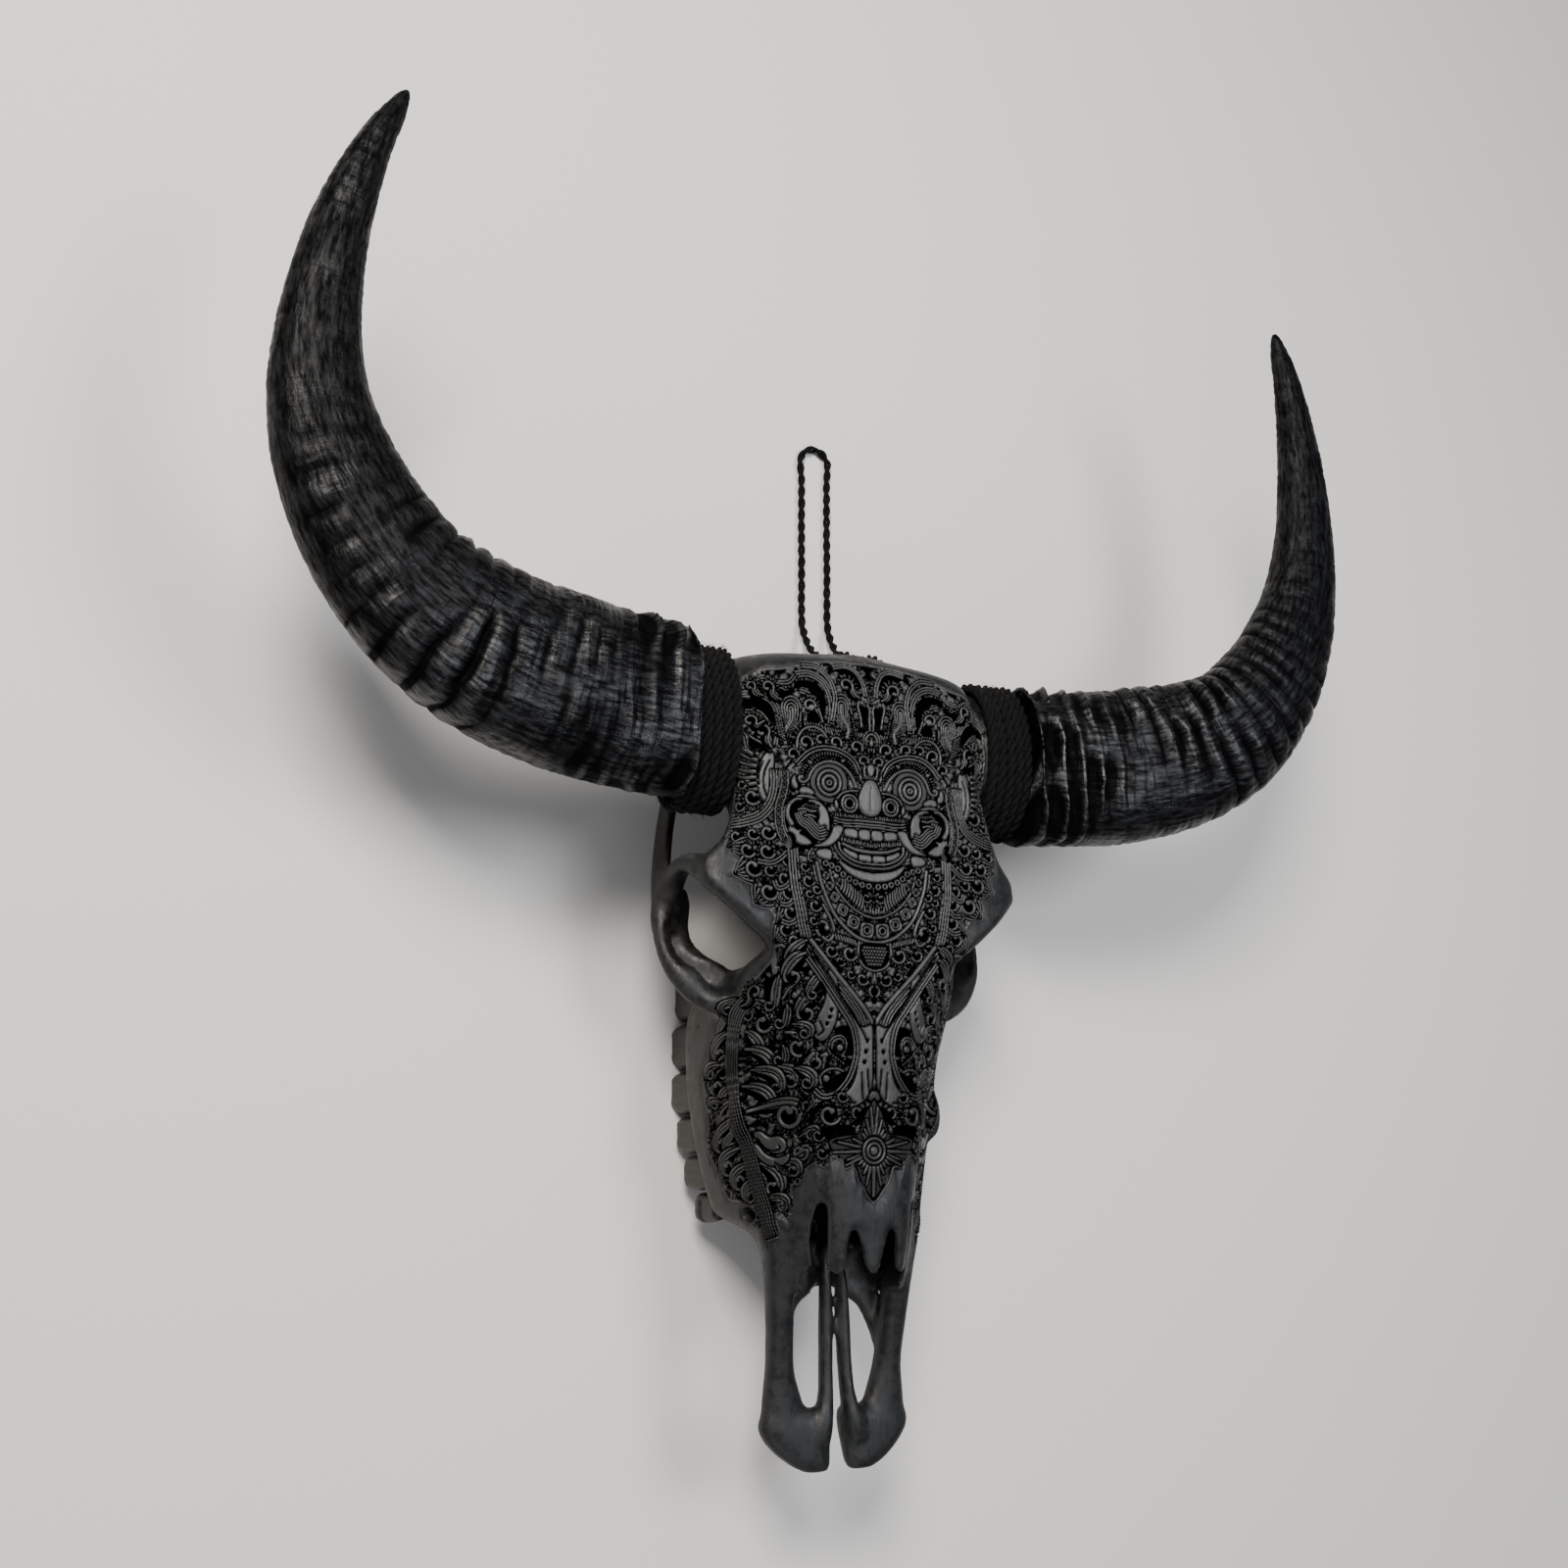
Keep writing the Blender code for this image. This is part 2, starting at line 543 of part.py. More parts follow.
def build_binding(word, side, finish):
    """Turns of rope laid side by side round the neck of the core, fused into one sleeve."""
    profile = []
    for turn in range(ROPE_TURNS):
        for a in (pi / 4, pi * 3 / 4):
            x = BINDING_START + (turn + 0.5 - 0.62 * cos(a)) * ROPE_DIAMETER * 0.96
            profile.append((x, CORE_CLEARANCE + ROPE_DIAMETER * (0.35 + 0.65 * sin(a))))
    bm = bmesh.new()
    sleeve(bm, side, profile + [(profile[-1][0], CORE_CLEARANCE), (profile[0][0], CORE_CLEARANCE)],
           BINDING_SIDES)
    add_object(f"binding_{word}", bm, finish)


def cord_route():
    """The cord's own points: out of the back of the skull, down, along the ground, round and back."""
    left = CORD_MIDDLE - CORD_SPACING / 2
    right = CORD_MIDDLE + CORD_SPACING / 2
    ground = -FACE_HEIGHT + CORD_DIAMETER / 2 + 0.3 * MM
    run = [(374, -60.5), (388, -62), (399, -63.2), (409, -68), (416, -80), (419, -96), (422, -113),
           (430, -128), (441, -138), (455, ground / MM + 1.5), (470, ground / MM), (500, ground / MM),
           (535, ground / MM), (572, ground / MM)]
    out = [(left, y * MM, z * MM) for y, z in run]
    radius = CORD_SPACING / 2 + 1 * MM
    turn = [(CORD_MIDDLE - radius * cos(a), 588 * MM + radius * sin(a), ground)
            for a in (pi * k / 8 for k in range(9))]
    back = [(right, y, z) for x, y, z in reversed(out)]
    return out + turn + back


def build_cord(finish):
    route = spline(cord_route(), 1)
    curve = bpy.data.curves.new("hanging_cord", "CURVE")
    curve.dimensions = "3D"
    curve.bevel_depth = CORD_DIAMETER / 2
    curve.bevel_resolution = 2
    curve.use_fill_caps = True
    line = curve.splines.new("POLY")
    line.points.add(len(route) - 1)
    for point, place in zip(line.points, route):
        point.co = (*place, 1)
    cord = bpy.data.objects.new("hanging_cord", curve)
    cord.parent = SKULL_FRAME
    curve.materials.append(finish)
    bpy.context.scene.collection.objects.link(cord)


for old in list(bpy.data.objects):
    bpy.data.objects.remove(old)

HORN_TIP = HORN_LINE[-1][1] * MM
SKULL_FRAME = bpy.data.objects.new("skull_frame", None)
SKULL_FRAME.location = (OFF_CENTRE, -(MUZZLE_END + HORN_TIP) / 2, FACE_HEIGHT)
bpy.context.scene.collection.objects.link(SKULL_FRAME)

bone = material("stained bone", (0.035, 0.034, 0.032), 0.55)
horn_black = material("lacquered horn", (0.018, 0.018, 0.018), 0.3)
enamel = material("stained tooth enamel", (0.03, 0.028, 0.025), 0.5)
rope_black = material("dyed jute rope", (0.012, 0.012, 0.012), 0.9)

build_skull(bone)
build_teeth(enamel)
for word, side in SIDES.items():
    build_horn(word, side, horn_black)
    build_binding(word, side, rope_black)
build_cord(rope_black)
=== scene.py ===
"""Carved buffalo skull: the looks of it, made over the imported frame.

The skull lies face up on a pale floor. Its bone, carving, teeth, horn sheaths, rope bindings and
hanging cord are made here at full detail, each in the place of the frame's own node. Forms are
given in mm from the tips of the nose bones: X across the skull, Y towards the poll, and Z out of
the face, from the flat plane of the forehead and nose.
"""

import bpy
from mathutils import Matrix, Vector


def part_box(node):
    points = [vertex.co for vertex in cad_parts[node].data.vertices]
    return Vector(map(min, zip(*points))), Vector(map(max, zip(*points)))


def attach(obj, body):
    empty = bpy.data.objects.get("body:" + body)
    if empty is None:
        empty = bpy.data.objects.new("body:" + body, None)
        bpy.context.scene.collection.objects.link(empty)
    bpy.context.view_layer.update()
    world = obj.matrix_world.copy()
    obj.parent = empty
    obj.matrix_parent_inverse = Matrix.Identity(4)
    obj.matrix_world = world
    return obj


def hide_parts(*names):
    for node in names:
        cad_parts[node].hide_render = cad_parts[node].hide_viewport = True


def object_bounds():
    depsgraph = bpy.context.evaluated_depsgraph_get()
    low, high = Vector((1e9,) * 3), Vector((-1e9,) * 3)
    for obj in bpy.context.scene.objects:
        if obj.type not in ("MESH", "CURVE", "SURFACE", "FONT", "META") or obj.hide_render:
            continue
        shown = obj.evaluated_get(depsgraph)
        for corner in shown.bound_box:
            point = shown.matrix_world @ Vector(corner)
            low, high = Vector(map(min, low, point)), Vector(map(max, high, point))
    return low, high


bl_info = {
    "name": "Carved Buffalo Skull",
    "version": (1, 0, 0),
    "blender": (4, 5, 0),
    "location": "3D View > Sidebar > Skull",
    "description": "Makes a carved buffalo skull with its horns, rope bindings and hanging cord",
    "category": "Add Mesh",
}

from math import cos, pi, radians, sin

import bmesh
import bpy
import numpy as np
from mathutils import Matrix, Vector
from mathutils.bvhtree import BVHTree

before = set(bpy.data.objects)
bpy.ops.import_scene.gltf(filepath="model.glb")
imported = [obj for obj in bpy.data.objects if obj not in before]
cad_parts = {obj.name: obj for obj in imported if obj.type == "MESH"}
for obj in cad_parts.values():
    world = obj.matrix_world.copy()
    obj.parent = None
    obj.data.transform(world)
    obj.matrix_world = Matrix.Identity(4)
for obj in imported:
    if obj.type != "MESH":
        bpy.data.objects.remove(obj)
CAD_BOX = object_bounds()

MM = 0.001
BODY = "root"
SKULL_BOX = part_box("skull")

# Sizes in mm, from the tips of the nose bones and the face plane
FACE_HEIGHT = 150.0
MUZZLE_END = -129.0
HORN_TIP = 683.0
OFF_CENTRE = 2.2
PLACE = np.array([OFF_CENTRE, -(MUZZLE_END + HORN_TIP) / 2, FACE_HEIGHT])
SIDES = {"left": -1, "right": 1}

# The left and right horns sag and reach out by different amounts
HORN_SAG = {"left": -2.0, "right": 8.0}
HORN_REACH = {"left": 0.5, "right": -4.0}
RIDGE_PITCH = 17.0
RIDGE_DEPTH = 2.6
RIDGED_SHARE = 0.62

ROPE_DIAMETER = 7.0
ROPE_TURNS = 5
BINDING_START = 94.5
NECK_MIDDLE = (336.5, -35.5)
NECK_RADII = (47.0, 29.5)
NECK_CLEARANCE = 1.2

CORD_DIAMETER = 6.0
CORD_LAY = 19.0
CORD_LEGS = (25.5, 47.5)
LOOP_MIDDLE = 588.0

TOOTH_NAMES = ["premolar_1", "premolar_2", "premolar_3", "molar_1", "molar_2", "molar_3"]
TOOTH_LENGTHS = [20, 23, 25, 29, 31, 33]
TOOTH_TIPS = [-130, -138, -145, -150, -150, -148]
TOOTH_ROW_START = 20.0
TOOTH_GAP = 1.2
TOOTH_ROOT = -108.0

FAR = 99.0


def linear(colour):
    """The linear RGB of an sRGB hex colour."""
    parts = [int(colour[k:k + 2], 16) / 255 for k in (1, 3, 5)]
    return tuple(c / 12.92 if c <= 0.04045 else ((c + 0.055) / 1.055) ** 2.4 for c in parts)


# Settings

class SkullBoneSettings(bpy.types.PropertyGroup):
    """What a user may change of the bone and its teeth."""
    voxel: bpy.props.FloatProperty(
        name="Bone fineness", description="Size at which the forms of the bone are fused",
        default=2.1 * MM, min=1.5 * MM, max=6 * MM, unit="LENGTH")
    softness: bpy.props.IntProperty(
        name="Softness", description="Rounds of smoothing after the forms are fused", default=7, min=0)
    kept: bpy.props.FloatProperty(
        name="Kept detail", description="Share of the bone's faces that is kept",
        default=0.36, min=0.01, max=1, subtype="FACTOR")
    paint: bpy.props.FloatVectorProperty(
        name="Bone stain", description="Black stain on the raised and bare bone", subtype="COLOR",
        default=linear("#1b1c1d"), min=0, max=1)
    # painted bounce light: the lighter brown that the bone takes low on its sides stands in for light
    # reflected onto them
    wear_and_bounce: bpy.props.FloatVectorProperty(
        name="Worn stain", description="Brownish stain low on the sides of the skull", subtype="COLOR",
        default=linear("#2c2620"), min=0, max=1)
    enamel: bpy.props.FloatVectorProperty(
        name="Tooth stain", description="Stained enamel of the cheek teeth", subtype="COLOR",
        default=linear("#241f1a"), min=0, max=1)


class CarvingSettings(bpy.types.PropertyGroup):
    """What a user may change of the carving."""
    spacing: bpy.props.FloatProperty(
        name="Spacing", description="Distance between the points of the carved skin",
        default=0.66 * MM, min=0.4 * MM, max=3 * MM, unit="LENGTH")
    depth: bpy.props.FloatProperty(
        name="Depth", description="Depth of the sunk ground below the raised lines",
        default=2.0 * MM, min=0, max=4 * MM, unit="LENGTH")
    # the material paints these raised lines lighter towards the brow, as painted light
    raised: bpy.props.FloatVectorProperty(
        name="Raised lines", description="Stain rubbed thin on the raised lines", subtype="COLOR",
        default=linear("#444443"), min=0, max=1)
    # partly painted shade: the near-black ground and pits stand in for the shade in the grooves as well as
    # for pooled stain
    sunk: bpy.props.FloatVectorProperty(
        name="Sunk ground", description="Stain that has pooled in the grooves", subtype="COLOR",
        default=linear("#020202"), min=0, max=1)


class HornSettings(bpy.types.PropertyGroup):
    """What a user may change of the horn sheaths."""
    rings: bpy.props.IntProperty(
        name="Rings", description="Rings of points along a horn", default=330, min=40, max=800)
    sides: bpy.props.IntProperty(
        name="Sides", description="Points round a horn", default=144, min=16, max=400)
    horn: bpy.props.FloatVectorProperty(
        name="Horn", description="Lacquered black horn", subtype="COLOR",
        default=linear("#070708"), min=0, max=1)
    # painted highlight: this grey on the crests stands in for light caught by their fibres
    crest_highlight: bpy.props.FloatVectorProperty(
        name="Worn crests", description="Greyer horn on the crests of the ridges", subtype="COLOR",
        default=linear("#26282a"), min=0, max=1)


class RopeSettings(bpy.types.PropertyGroup):
    """What a user may change of the rope bindings and the hanging cord."""
    fibre: bpy.props.FloatVectorProperty(
        name="Rope", description="Black dyed jute", subtype="COLOR",
        default=linear("#0c0b0b"), min=0, max=1)
    hairs: bpy.props.IntProperty(
        name="Loose fibres", description="Loose fibres that stand out of each binding", default=170, min=0)
    lay: bpy.props.FloatProperty(
        name="Lay", description="Length in which a strand goes once round its rope",
        default=23 * MM, min=5 * MM, unit="LENGTH")


class StageSettings(bpy.types.PropertyGroup):
    """Floor, lights and camera."""
    floor: bpy.props.FloatVectorProperty(
        name="Floor", description="Colour of the plain floor", subtype="COLOR",
        default=linear("#e4e1dc"), min=0, max=1)
    lens: bpy.props.FloatProperty(
        name="Lens", description="Focal length of the camera, in mm on a 36 mm sensor",
        default=38.99, min=10, max=300)


# Curves and closed forms

def spline(points, steps, closed=False):
    """Catmull-Rom curve through points, with steps points to each span. Works on whole rows too."""
    points = np.asarray(points, float)
    if closed:
        padded = np.concatenate([points[-1:], points, points[:2]])
    else:
        padded = np.concatenate([2 * points[:1] - points[1:2], points, 2 * points[-1:] - points[-2:-1]])
    made = []
    for a, b, c, d in zip(padded, padded[1:], padded[2:], padded[3:]):
        for t in np.arange(steps) / steps:
            made.append(0.5 * (2 * b + (c - a) * t + (2 * a - 5 * b + 4 * c - d) * t ** 2
                               + (3 * b - a - 3 * c + d) * t ** 3))
    if not closed:
        made.append(points[-1])
    return np.array(made)


def rounded(value, power):
    """A cosine or sine squared off: power 2 gives an oval section, and more gives a boxier one."""
    return np.sign(value) * np.abs(value) ** (2 / power)


def unit(rows):
    """Rows of vectors at length 1."""
    return rows / np.maximum(np.linalg.norm(rows, axis=-1, keepdims=True), 1e-12)


def ahead(path):
    """The direction of a line at each of its points."""
    return unit(np.gradient(path, axis=0))


def run_along(path):
    """How far each point of a line is from its start, along the line."""
    return np.concatenate([[0], np.cumsum(np.linalg.norm(np.diff(path[:, :3], axis=0), axis=1))])


def at_places(path, run, places):
    """A line's own values at these distances along it."""
    return np.stack([np.interp(places, run, path[:, k]) for k in range(path.shape[1])], axis=1)


def even(path, gap):
    """The same line with its points a constant distance apart."""
    run = run_along(path)
    return at_places(path, run, np.linspace(0, run[-1], max(2, int(round(run[-1] / gap)) + 1)))


def round_angles(count):
    """Angles all the way round."""
    return 2 * pi * np.arange(count) / count


def between(grid, row, column):
    """Reads a grid at places between its points."""
    row = np.clip(row, 0, len(grid) - 1.001)
    column = np.clip(column, 0, grid.shape[1] - 1.001)
    i, j = row.astype(int), column.astype(int)
    ti, tj = row - i, column - j
    return ((grid[i, j] * (1 - tj) + grid[i, j + 1] * tj) * (1 - ti)
            + (grid[i + 1, j] * (1 - tj) + grid[i + 1, j + 1] * tj) * ti)


def grid_faces(rows, columns, around=True):
    """Quads between rows of points."""
    i = np.arange(rows - 1)[:, None] * columns
    j = np.arange(columns if around else columns - 1)[None, :]
    k = (j + 1) % columns
    return np.stack([i + j, i + k, i + columns + k, i + columns + j], axis=-1).reshape(-1, 4)


class Solid:
    """Closed forms gathered before they become one mesh, in mm."""

    def __init__(self):
        self.points, self.faces, self.count = [], [], 0

    def loft(self, rings):
        """A closed solid through rings of equal length, capped at both ends."""
        rings = np.asarray(rings, float)
        rows, columns = rings.shape[:2]
        self.faces += (grid_faces(rows, columns) + self.count).tolist()
        for first in (self.count, self.count + (rows - 1) * columns):
            self.faces.append(list(range(first, first + columns)))
        self.points.append(rings.reshape(-1, 3))
        self.count += rows * columns

    def sectioned(self, stations, across=4, along=5):
        """A solid through mirrored outlines, given as {y: half outline}, made smooth both ways."""
        rings = []
        for y, half in stations.items():
            right = [(x, y, z) for x, z in half]
            rings.append(right + [(-x, y, z) for x, y, z in reversed(right[1:-1])])
        self.loft([spline(ring, across, closed=True) for ring in spline(rings, along)])

    def tube(self, points, steps=6, sides=24, power=2.0, side=1, upright=(0, 0, 1)):
        """A solid that follows points (x, y, z, half width, half height) with oval sections."""
        path = spline(points, steps)
        path[:, 0] *= side
        along = ahead(path[:, :3])
        across = unit(np.cross(along, upright))
        up = np.cross(across, along)
        angle = round_angles(sides)
        u = rounded(np.cos(angle), power)[None, :, None]
        v = rounded(np.sin(angle), power)[None, :, None]
        wide, high = path[:, None, 3:4], path[:, None, 4:5]
        self.loft(path[:, None, :3] + across[:, None] * wide * u + up[:, None] * high * v)

    def slab(self, stations, side=1, sides=40, power=2.8):
        """A flat rounded form given as {y: (inner x, outer x, middle z, half thickness)}."""
        rings = []
        angle = round_angles(sides)
        for y, inner, outer, z, high in spline([[y, *row] for y, row in stations.items()], 3):
            reach = (outer - inner) / 2
            x = side * (inner + reach + reach * rounded(np.cos(angle), power))
            rings.append(np.stack([x, np.full(sides, y), z + high * rounded(np.sin(angle), power)], axis=1))
        self.loft(rings)

    def blob(self, centre, radii, side=1, turn=0.0, sides=28, rows=18):
        """An ellipsoid, turned about Z."""
        angle = round_angles(sides)
        tilt = np.linspace(0.06, pi - 0.06, rows)[:, None]
        rings = np.stack([np.sin(tilt) * np.cos(angle) * radii[0], np.sin(tilt) * np.sin(angle) * radii[1],
                          np.cos(tilt) * radii[2] + 0 * angle], axis=-1)
        turned = np.array(Matrix.Rotation(turn * side, 3, "Z"))
        self.loft(rings @ turned.T + np.array([centre[0] * side, centre[1], centre[2]]))

    def mesh(self, name):
        """The mesh, in metres, in the frame."""
        made = bpy.data.meshes.new(name)
        made.from_pydata(((np.concatenate(self.points) + PLACE) * MM).tolist(), [], self.faces)
        bm = bmesh.new()
        bm.from_mesh(made)
        bmesh.ops.recalc_face_normals(bm, faces=bm.faces)
        bm.to_mesh(made)
        bm.free()
        return made


def put(name, data, finish=None):
    """An object for a mesh, a lamp or a camera, in the scene. A finish is the mesh's material."""
    made = bpy.data.objects.new(name, data)
    bpy.context.scene.collection.objects.link(made)
    if finish:
        data.materials.append(finish)
        data.shade_smooth()
    return made


def from_arrays(name, points, faces):
    """A mesh from rows of points, in mm, and quads."""
    made = bpy.data.meshes.new(name)
    faces = np.asarray(faces, np.int32)
    made.vertices.add(len(points))
    made.vertices.foreach_set("co", ((points + PLACE) * MM).astype(np.float32).ravel())
    made.loops.add(faces.size)
    made.loops.foreach_set("vertex_index", faces.ravel())
    made.polygons.add(len(faces))
    made.polygons.foreach_set("loop_start", np.arange(0, faces.size, 4, dtype=np.int32))
    made.update(calc_edges=True)
    made.validate()
    return made


def read_points(mesh, what):
    """A mesh's own co or normal at each of its points."""
    made = np.empty(len(mesh.vertices) * 3, np.float32)
    mesh.vertices.foreach_get(what, made)
    return made.reshape(-1, 3).astype(float)


def positions(mesh):
    """A mesh's points, in mm, from the tips of the nose bones."""
    return read_points(mesh, "co") / MM - PLACE


def move_points(mesh, points):
    """Puts a mesh's points, given in mm, back in the frame."""
    mesh.vertices.foreach_set("co", ((points + PLACE) * MM).astype(np.float32).ravel())
    mesh.update()


def keep_inside(mesh, box, margin=0.0):
    """Keeps a mesh inside a box of the frame."""
    low, high = (np.array(corner) / MM - PLACE for corner in box)
    move_points(mesh, np.clip(positions(mesh), low + margin, high - margin))


def paint_points(mesh, name, values):
    """Keeps a number or a vector for each point of a mesh, for its material to read."""
    values = np.asarray(values, np.float32)
    kind, field = ("FLOAT_VECTOR", "vector") if values.shape[-1] == 3 else ("FLOAT", "value")
    mesh.attributes.new(name, kind, "POINT").data.foreach_set(field, values.ravel())


def modify(made, kind, **settings):
    """Adds a modifier with its settings."""
    modifier = made.modifiers.new(kind, kind)
    for name, setting in settings.items():
        setattr(modifier, name, setting)


def freeze(made):
    """Applies an object's modifiers."""
    graph = bpy.context.evaluated_depsgraph_get()
    old, made.data = made.data, bpy.data.meshes.new_from_object(made.evaluated_get(graph))
    made.modifiers.clear()
    bpy.data.meshes.remove(old)


def settle(piece, *nodes, slot):
    """The piece rides on the skull and stands for these nodes."""
    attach(piece, BODY)
    if nodes:
        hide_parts(*nodes)


def value_noise(points, size, seed=0):
    """Smooth noise from -1 to 1 with bumps about size across. Size may differ along each axis."""
    # the large numbers only mix a cell's place into one that looks random
    p = np.asarray(points, float) / np.asarray(size, float) + 37.3 * (seed + 1)
    cell = np.floor(p).astype(np.int64)
    t = p - cell
    t = t * t * (3 - 2 * t)
    total = np.zeros(p.shape[:-1])
    for corner in range(8):
        step = np.array([corner & 1, corner >> 1 & 1, corner >> 2 & 1])
        q = cell + step
        h = (q[..., 0] * 374761393 + q[..., 1] * 668265263 + q[..., 2] * 2147483647 + seed * 974711)
        h = (h ^ (h >> 13)) * 1274126177 & 0x7FFFFFFF
        h = ((h ^ (h >> 16)) & 0xFFFF) / 32767.5 - 1
        total += h * np.prod(np.where(step, t, 1 - t), axis=-1)
    return total


# Bone

def braincase_and_forehead(solid):
    """The flat forehead with its poll, and the narrower braincase under it."""
    solid.sectioned({
        391: [(0, -10), (36, -12), (62, -22), (74, -42), (50, -62), (0, -64)],
        383: [(0, -3), (46, -3), (78, -12), (92, -42), (60, -76), (0, -80)],
        366: [(0, 1), (56, 1), (84, -6), (89, -40), (64, -84), (0, -88)],
        340: [(0, 3), (56, 2), (85, -4), (88, -38), (62, -82), (0, -88)],
        312: [(0, 4), (56, 2), (86, -4), (89, -34), (66, -70), (0, -78)],
        284: [(0, 4), (56, 3), (92, -3), (93, -20), (76, -46), (0, -66)],
        262: [(0, 4), (56, 3), (99, -3), (99, -18), (68, -38), (0, -64)],
        244: [(0, 4), (56, 3), (112, -7), (112, -20), (60, -34), (0, -62)],
        226: [(0, 4), (58, 3), (102, -3), (100, -16), (56, -34), (0, -62)],
        206: [(0, 4), (56, 3), (82, -1), (78, -15), (48, -34), (0, -60)],
        190: [(0, 3), (50, 2), (67, -5), (64, -20), (44, -40), (0, -60)],
    })
    solid.sectioned({
        380: [(0, -14), (60, -26), (82, -58), (70, -98), (30, -112), (0, -112)],
        366: [(0, -14), (62, -24), (86, -58), (74, -102), (34, -118), (0, -116)],
        346: [(0, -20), (58, -24), (80, -56), (70, -100), (30, -116), (0, -116)],
        320: [(0, -20), (50, -30), (66, -56), (54, -94), (22, -114), (0, -115)],
        286: [(0, -20), (44, -30), (56, -56), (42, -90), (17, -112), (0, -113)],
        250: [(0, -20), (40, -30), (42, -52), (32, -84), (12, -106), (0, -107)],
        215: [(0, -20), (40, -28), (36, -50), (24, -80), (11, -100), (0, -102)],
    })


def occiput(solid):
    """The back of the skull: the condyles and what stands on the ground behind the ears."""
    for side in SIDES.values():
        solid.blob((25, 382, -116), (17, 15, 21), side, 0.4)
        solid.blob((64, 352, -86), (22, 24, 26), side)
        solid.blob((40, 326, -112), (15, 24, 14), side)
        solid.tube([(52, 368, -92, 15, 9), (54, 362, -118, 13, 8), (52, 358, -138, 10, 7),
                    (51, 356, -149.6, 8.5, 7)], side=side, upright=(0, 1, 0), power=3)
        solid.tube([(0, 388, -18, 9, 7), (42, 384, -22, 8, 7), (72, 373, -48, 9, 8),
                    (82, 363, -78, 9, 8)], side=side)
    solid.blob((0, 390, -40), (16, 9, 22))


def horn_cores(solid):
    """The necks of the bony cores under the bindings, and what shows of the cores past them."""
    for side in SIDES.values():
        solid.tube([(58, 334, -38, 44, 29), (78, 335, -37, 46, 29.5), (94, 336, -36, 47, 29.5),
                    (112, 337, -35, 46.5, 29.5), (130, 338, -31, 43, 26), (150, 340, -27, 38, 22)],
                   side=side, sides=40)


def face(solid):
    """The nose bones and the upper jaw in front of the eyes, down to the sockets of the teeth."""
    solid.sectioned({
        226: [(0, 3), (46, 2), (50, -20), (32, -54), (12, -94), (0, -98)],
        206: [(0, 3), (50, 2), (64, -14), (36, -56), (14, -100), (0, -102)],
        193: [(0, 3), (50, 2), (70, -18), (48, -56), (26, -104), (0, -102)],
        181: [(0, 3), (48, 1), (76, -24), (72, -58), (62, -110), (0, -101)],
        158: [(0, 2), (42, -1), (74, -28), (82, -60), (75, -117), (0, -99)],
        128: [(0, 2), (36, -3), (64, -28), (79, -58), (77, -119), (0, -97)],
        96: [(0, 1), (33, -3), (55, -27), (75, -56), (75, -118), (0, -94)],
        64: [(0, 0), (30, -3), (49, -27), (68, -52), (71, -114), (0, -91)],
        38: [(0, -1), (28, -4), (45, -27), (62, -48), (66, -108), (0, -87)],
        26: [(0, -1), (27, -4), (43, -27), (60, -47), (61, -103), (0, -85)],
        14: [(0, -2), (26, -5), (42, -28), (58, -46), (43, -80), (0, -82)],
        -6: [(0, -2), (22, -6), (41, -32), (53, -46), (38, -73), (0, -78)],
        -20: [(0, -4), (20, -10), (40, -38), (49, -49), (34, -68), (0, -74)],
    })
    for side in SIDES.values():
        # facial tuber, a low knob above the first molars
        solid.blob((69, 94, -50), (9, 20, 11), side, 0.15)


def eye_sockets(solid):
    """The rims that stand out round the eyes, and the cheek arches behind them."""
    for side in SIDES.values():
        # lower rim and cheek bone
        solid.tube([(78, 158, -48, 7, 7), (92, 164, -56, 7, 9), (103, 174, -60, 6.5, 10),
                    (111, 188, -64, 6, 10.5), (114, 204, -69, 5.5, 11), (114, 221, -74, 5.5, 11),
                    (113, 237, -70, 6, 10), (113, 247, -54, 6, 8), (114, 248, -36, 6.5, 8),
                    (114, 243, -18, 9, 8)], side=side, upright=(1, 0, 0.25))
        # floor of the socket, a thin shelf that runs inwards and down from the lower rim
        solid.tube([(72, 167, -60, 4.5, 14), (88, 179, -71, 4.5, 16), (98, 198, -77, 4.5, 18),
                    (101, 219, -82, 4.5, 17), (104, 238, -80, 4.5, 10)], side=side,
                   upright=(-0.87, 0.1, -0.48), power=3)
        # arch back to the ear
        solid.tube([(114, 222, -82, 5, 12), (112, 248, -88, 5, 12), (106, 282, -96, 5, 11),
                    (98, 310, -100, 6, 10), (84, 334, -94, 12, 11), (66, 350, -86, 16, 14)], side=side)
        # upper rim, from the nose side round to the bar behind the eye
        solid.tube([(58, 189, -16, 8, 9), (69, 200, -6, 7, 8), (83, 211, -5, 7, 7),
                    (98, 224, -7, 7, 7), (113, 239, -15, 8, 8)], side=side)
        # tear bone between the two rims
        solid.blob((64, 170, -38), (14, 14, 20), side)


def palate_walls(solid):
    """Thin upright plates under the braincase, behind the last teeth."""
    for side in SIDES.values():
        solid.tube([(24, 178, -104, 5, 10), (16, 202, -106, 3.5, 10), (14, 226, -108, 3.5, 10),
                    (14, 248, -108, 4, 7)], side=side, power=3)


def premaxillae(solid):
    """The outer bars and flared ends of the paired bones at the end of the muzzle."""
    for side in SIDES.values():
        solid.tube([(50, 26, -42, 8, 10), (45.5, -4, -47, 9, 10), (42, -30, -50, 9.5, 9.5),
                    (39.5, -64, -55, 9.5, 9), (38, -82, -56, 13, 9), (36, -96, -56, 16, 9)], side=side)
        # flared end, longest beside the middle of the muzzle
        solid.slab({-92: (2.4, 50, -56, 7), -99: (2.8, 53.5, -56, 9.5), -106: (3.4, 52.5, -55.5, 9.5),
                    -113: (4.2, 47.5, -54.5, 9), -120: (5, 40, -53, 8), -126: (5.8, 31, -51.5, 6.5),
                    -130: (7, 22, -50, 4)}, side)


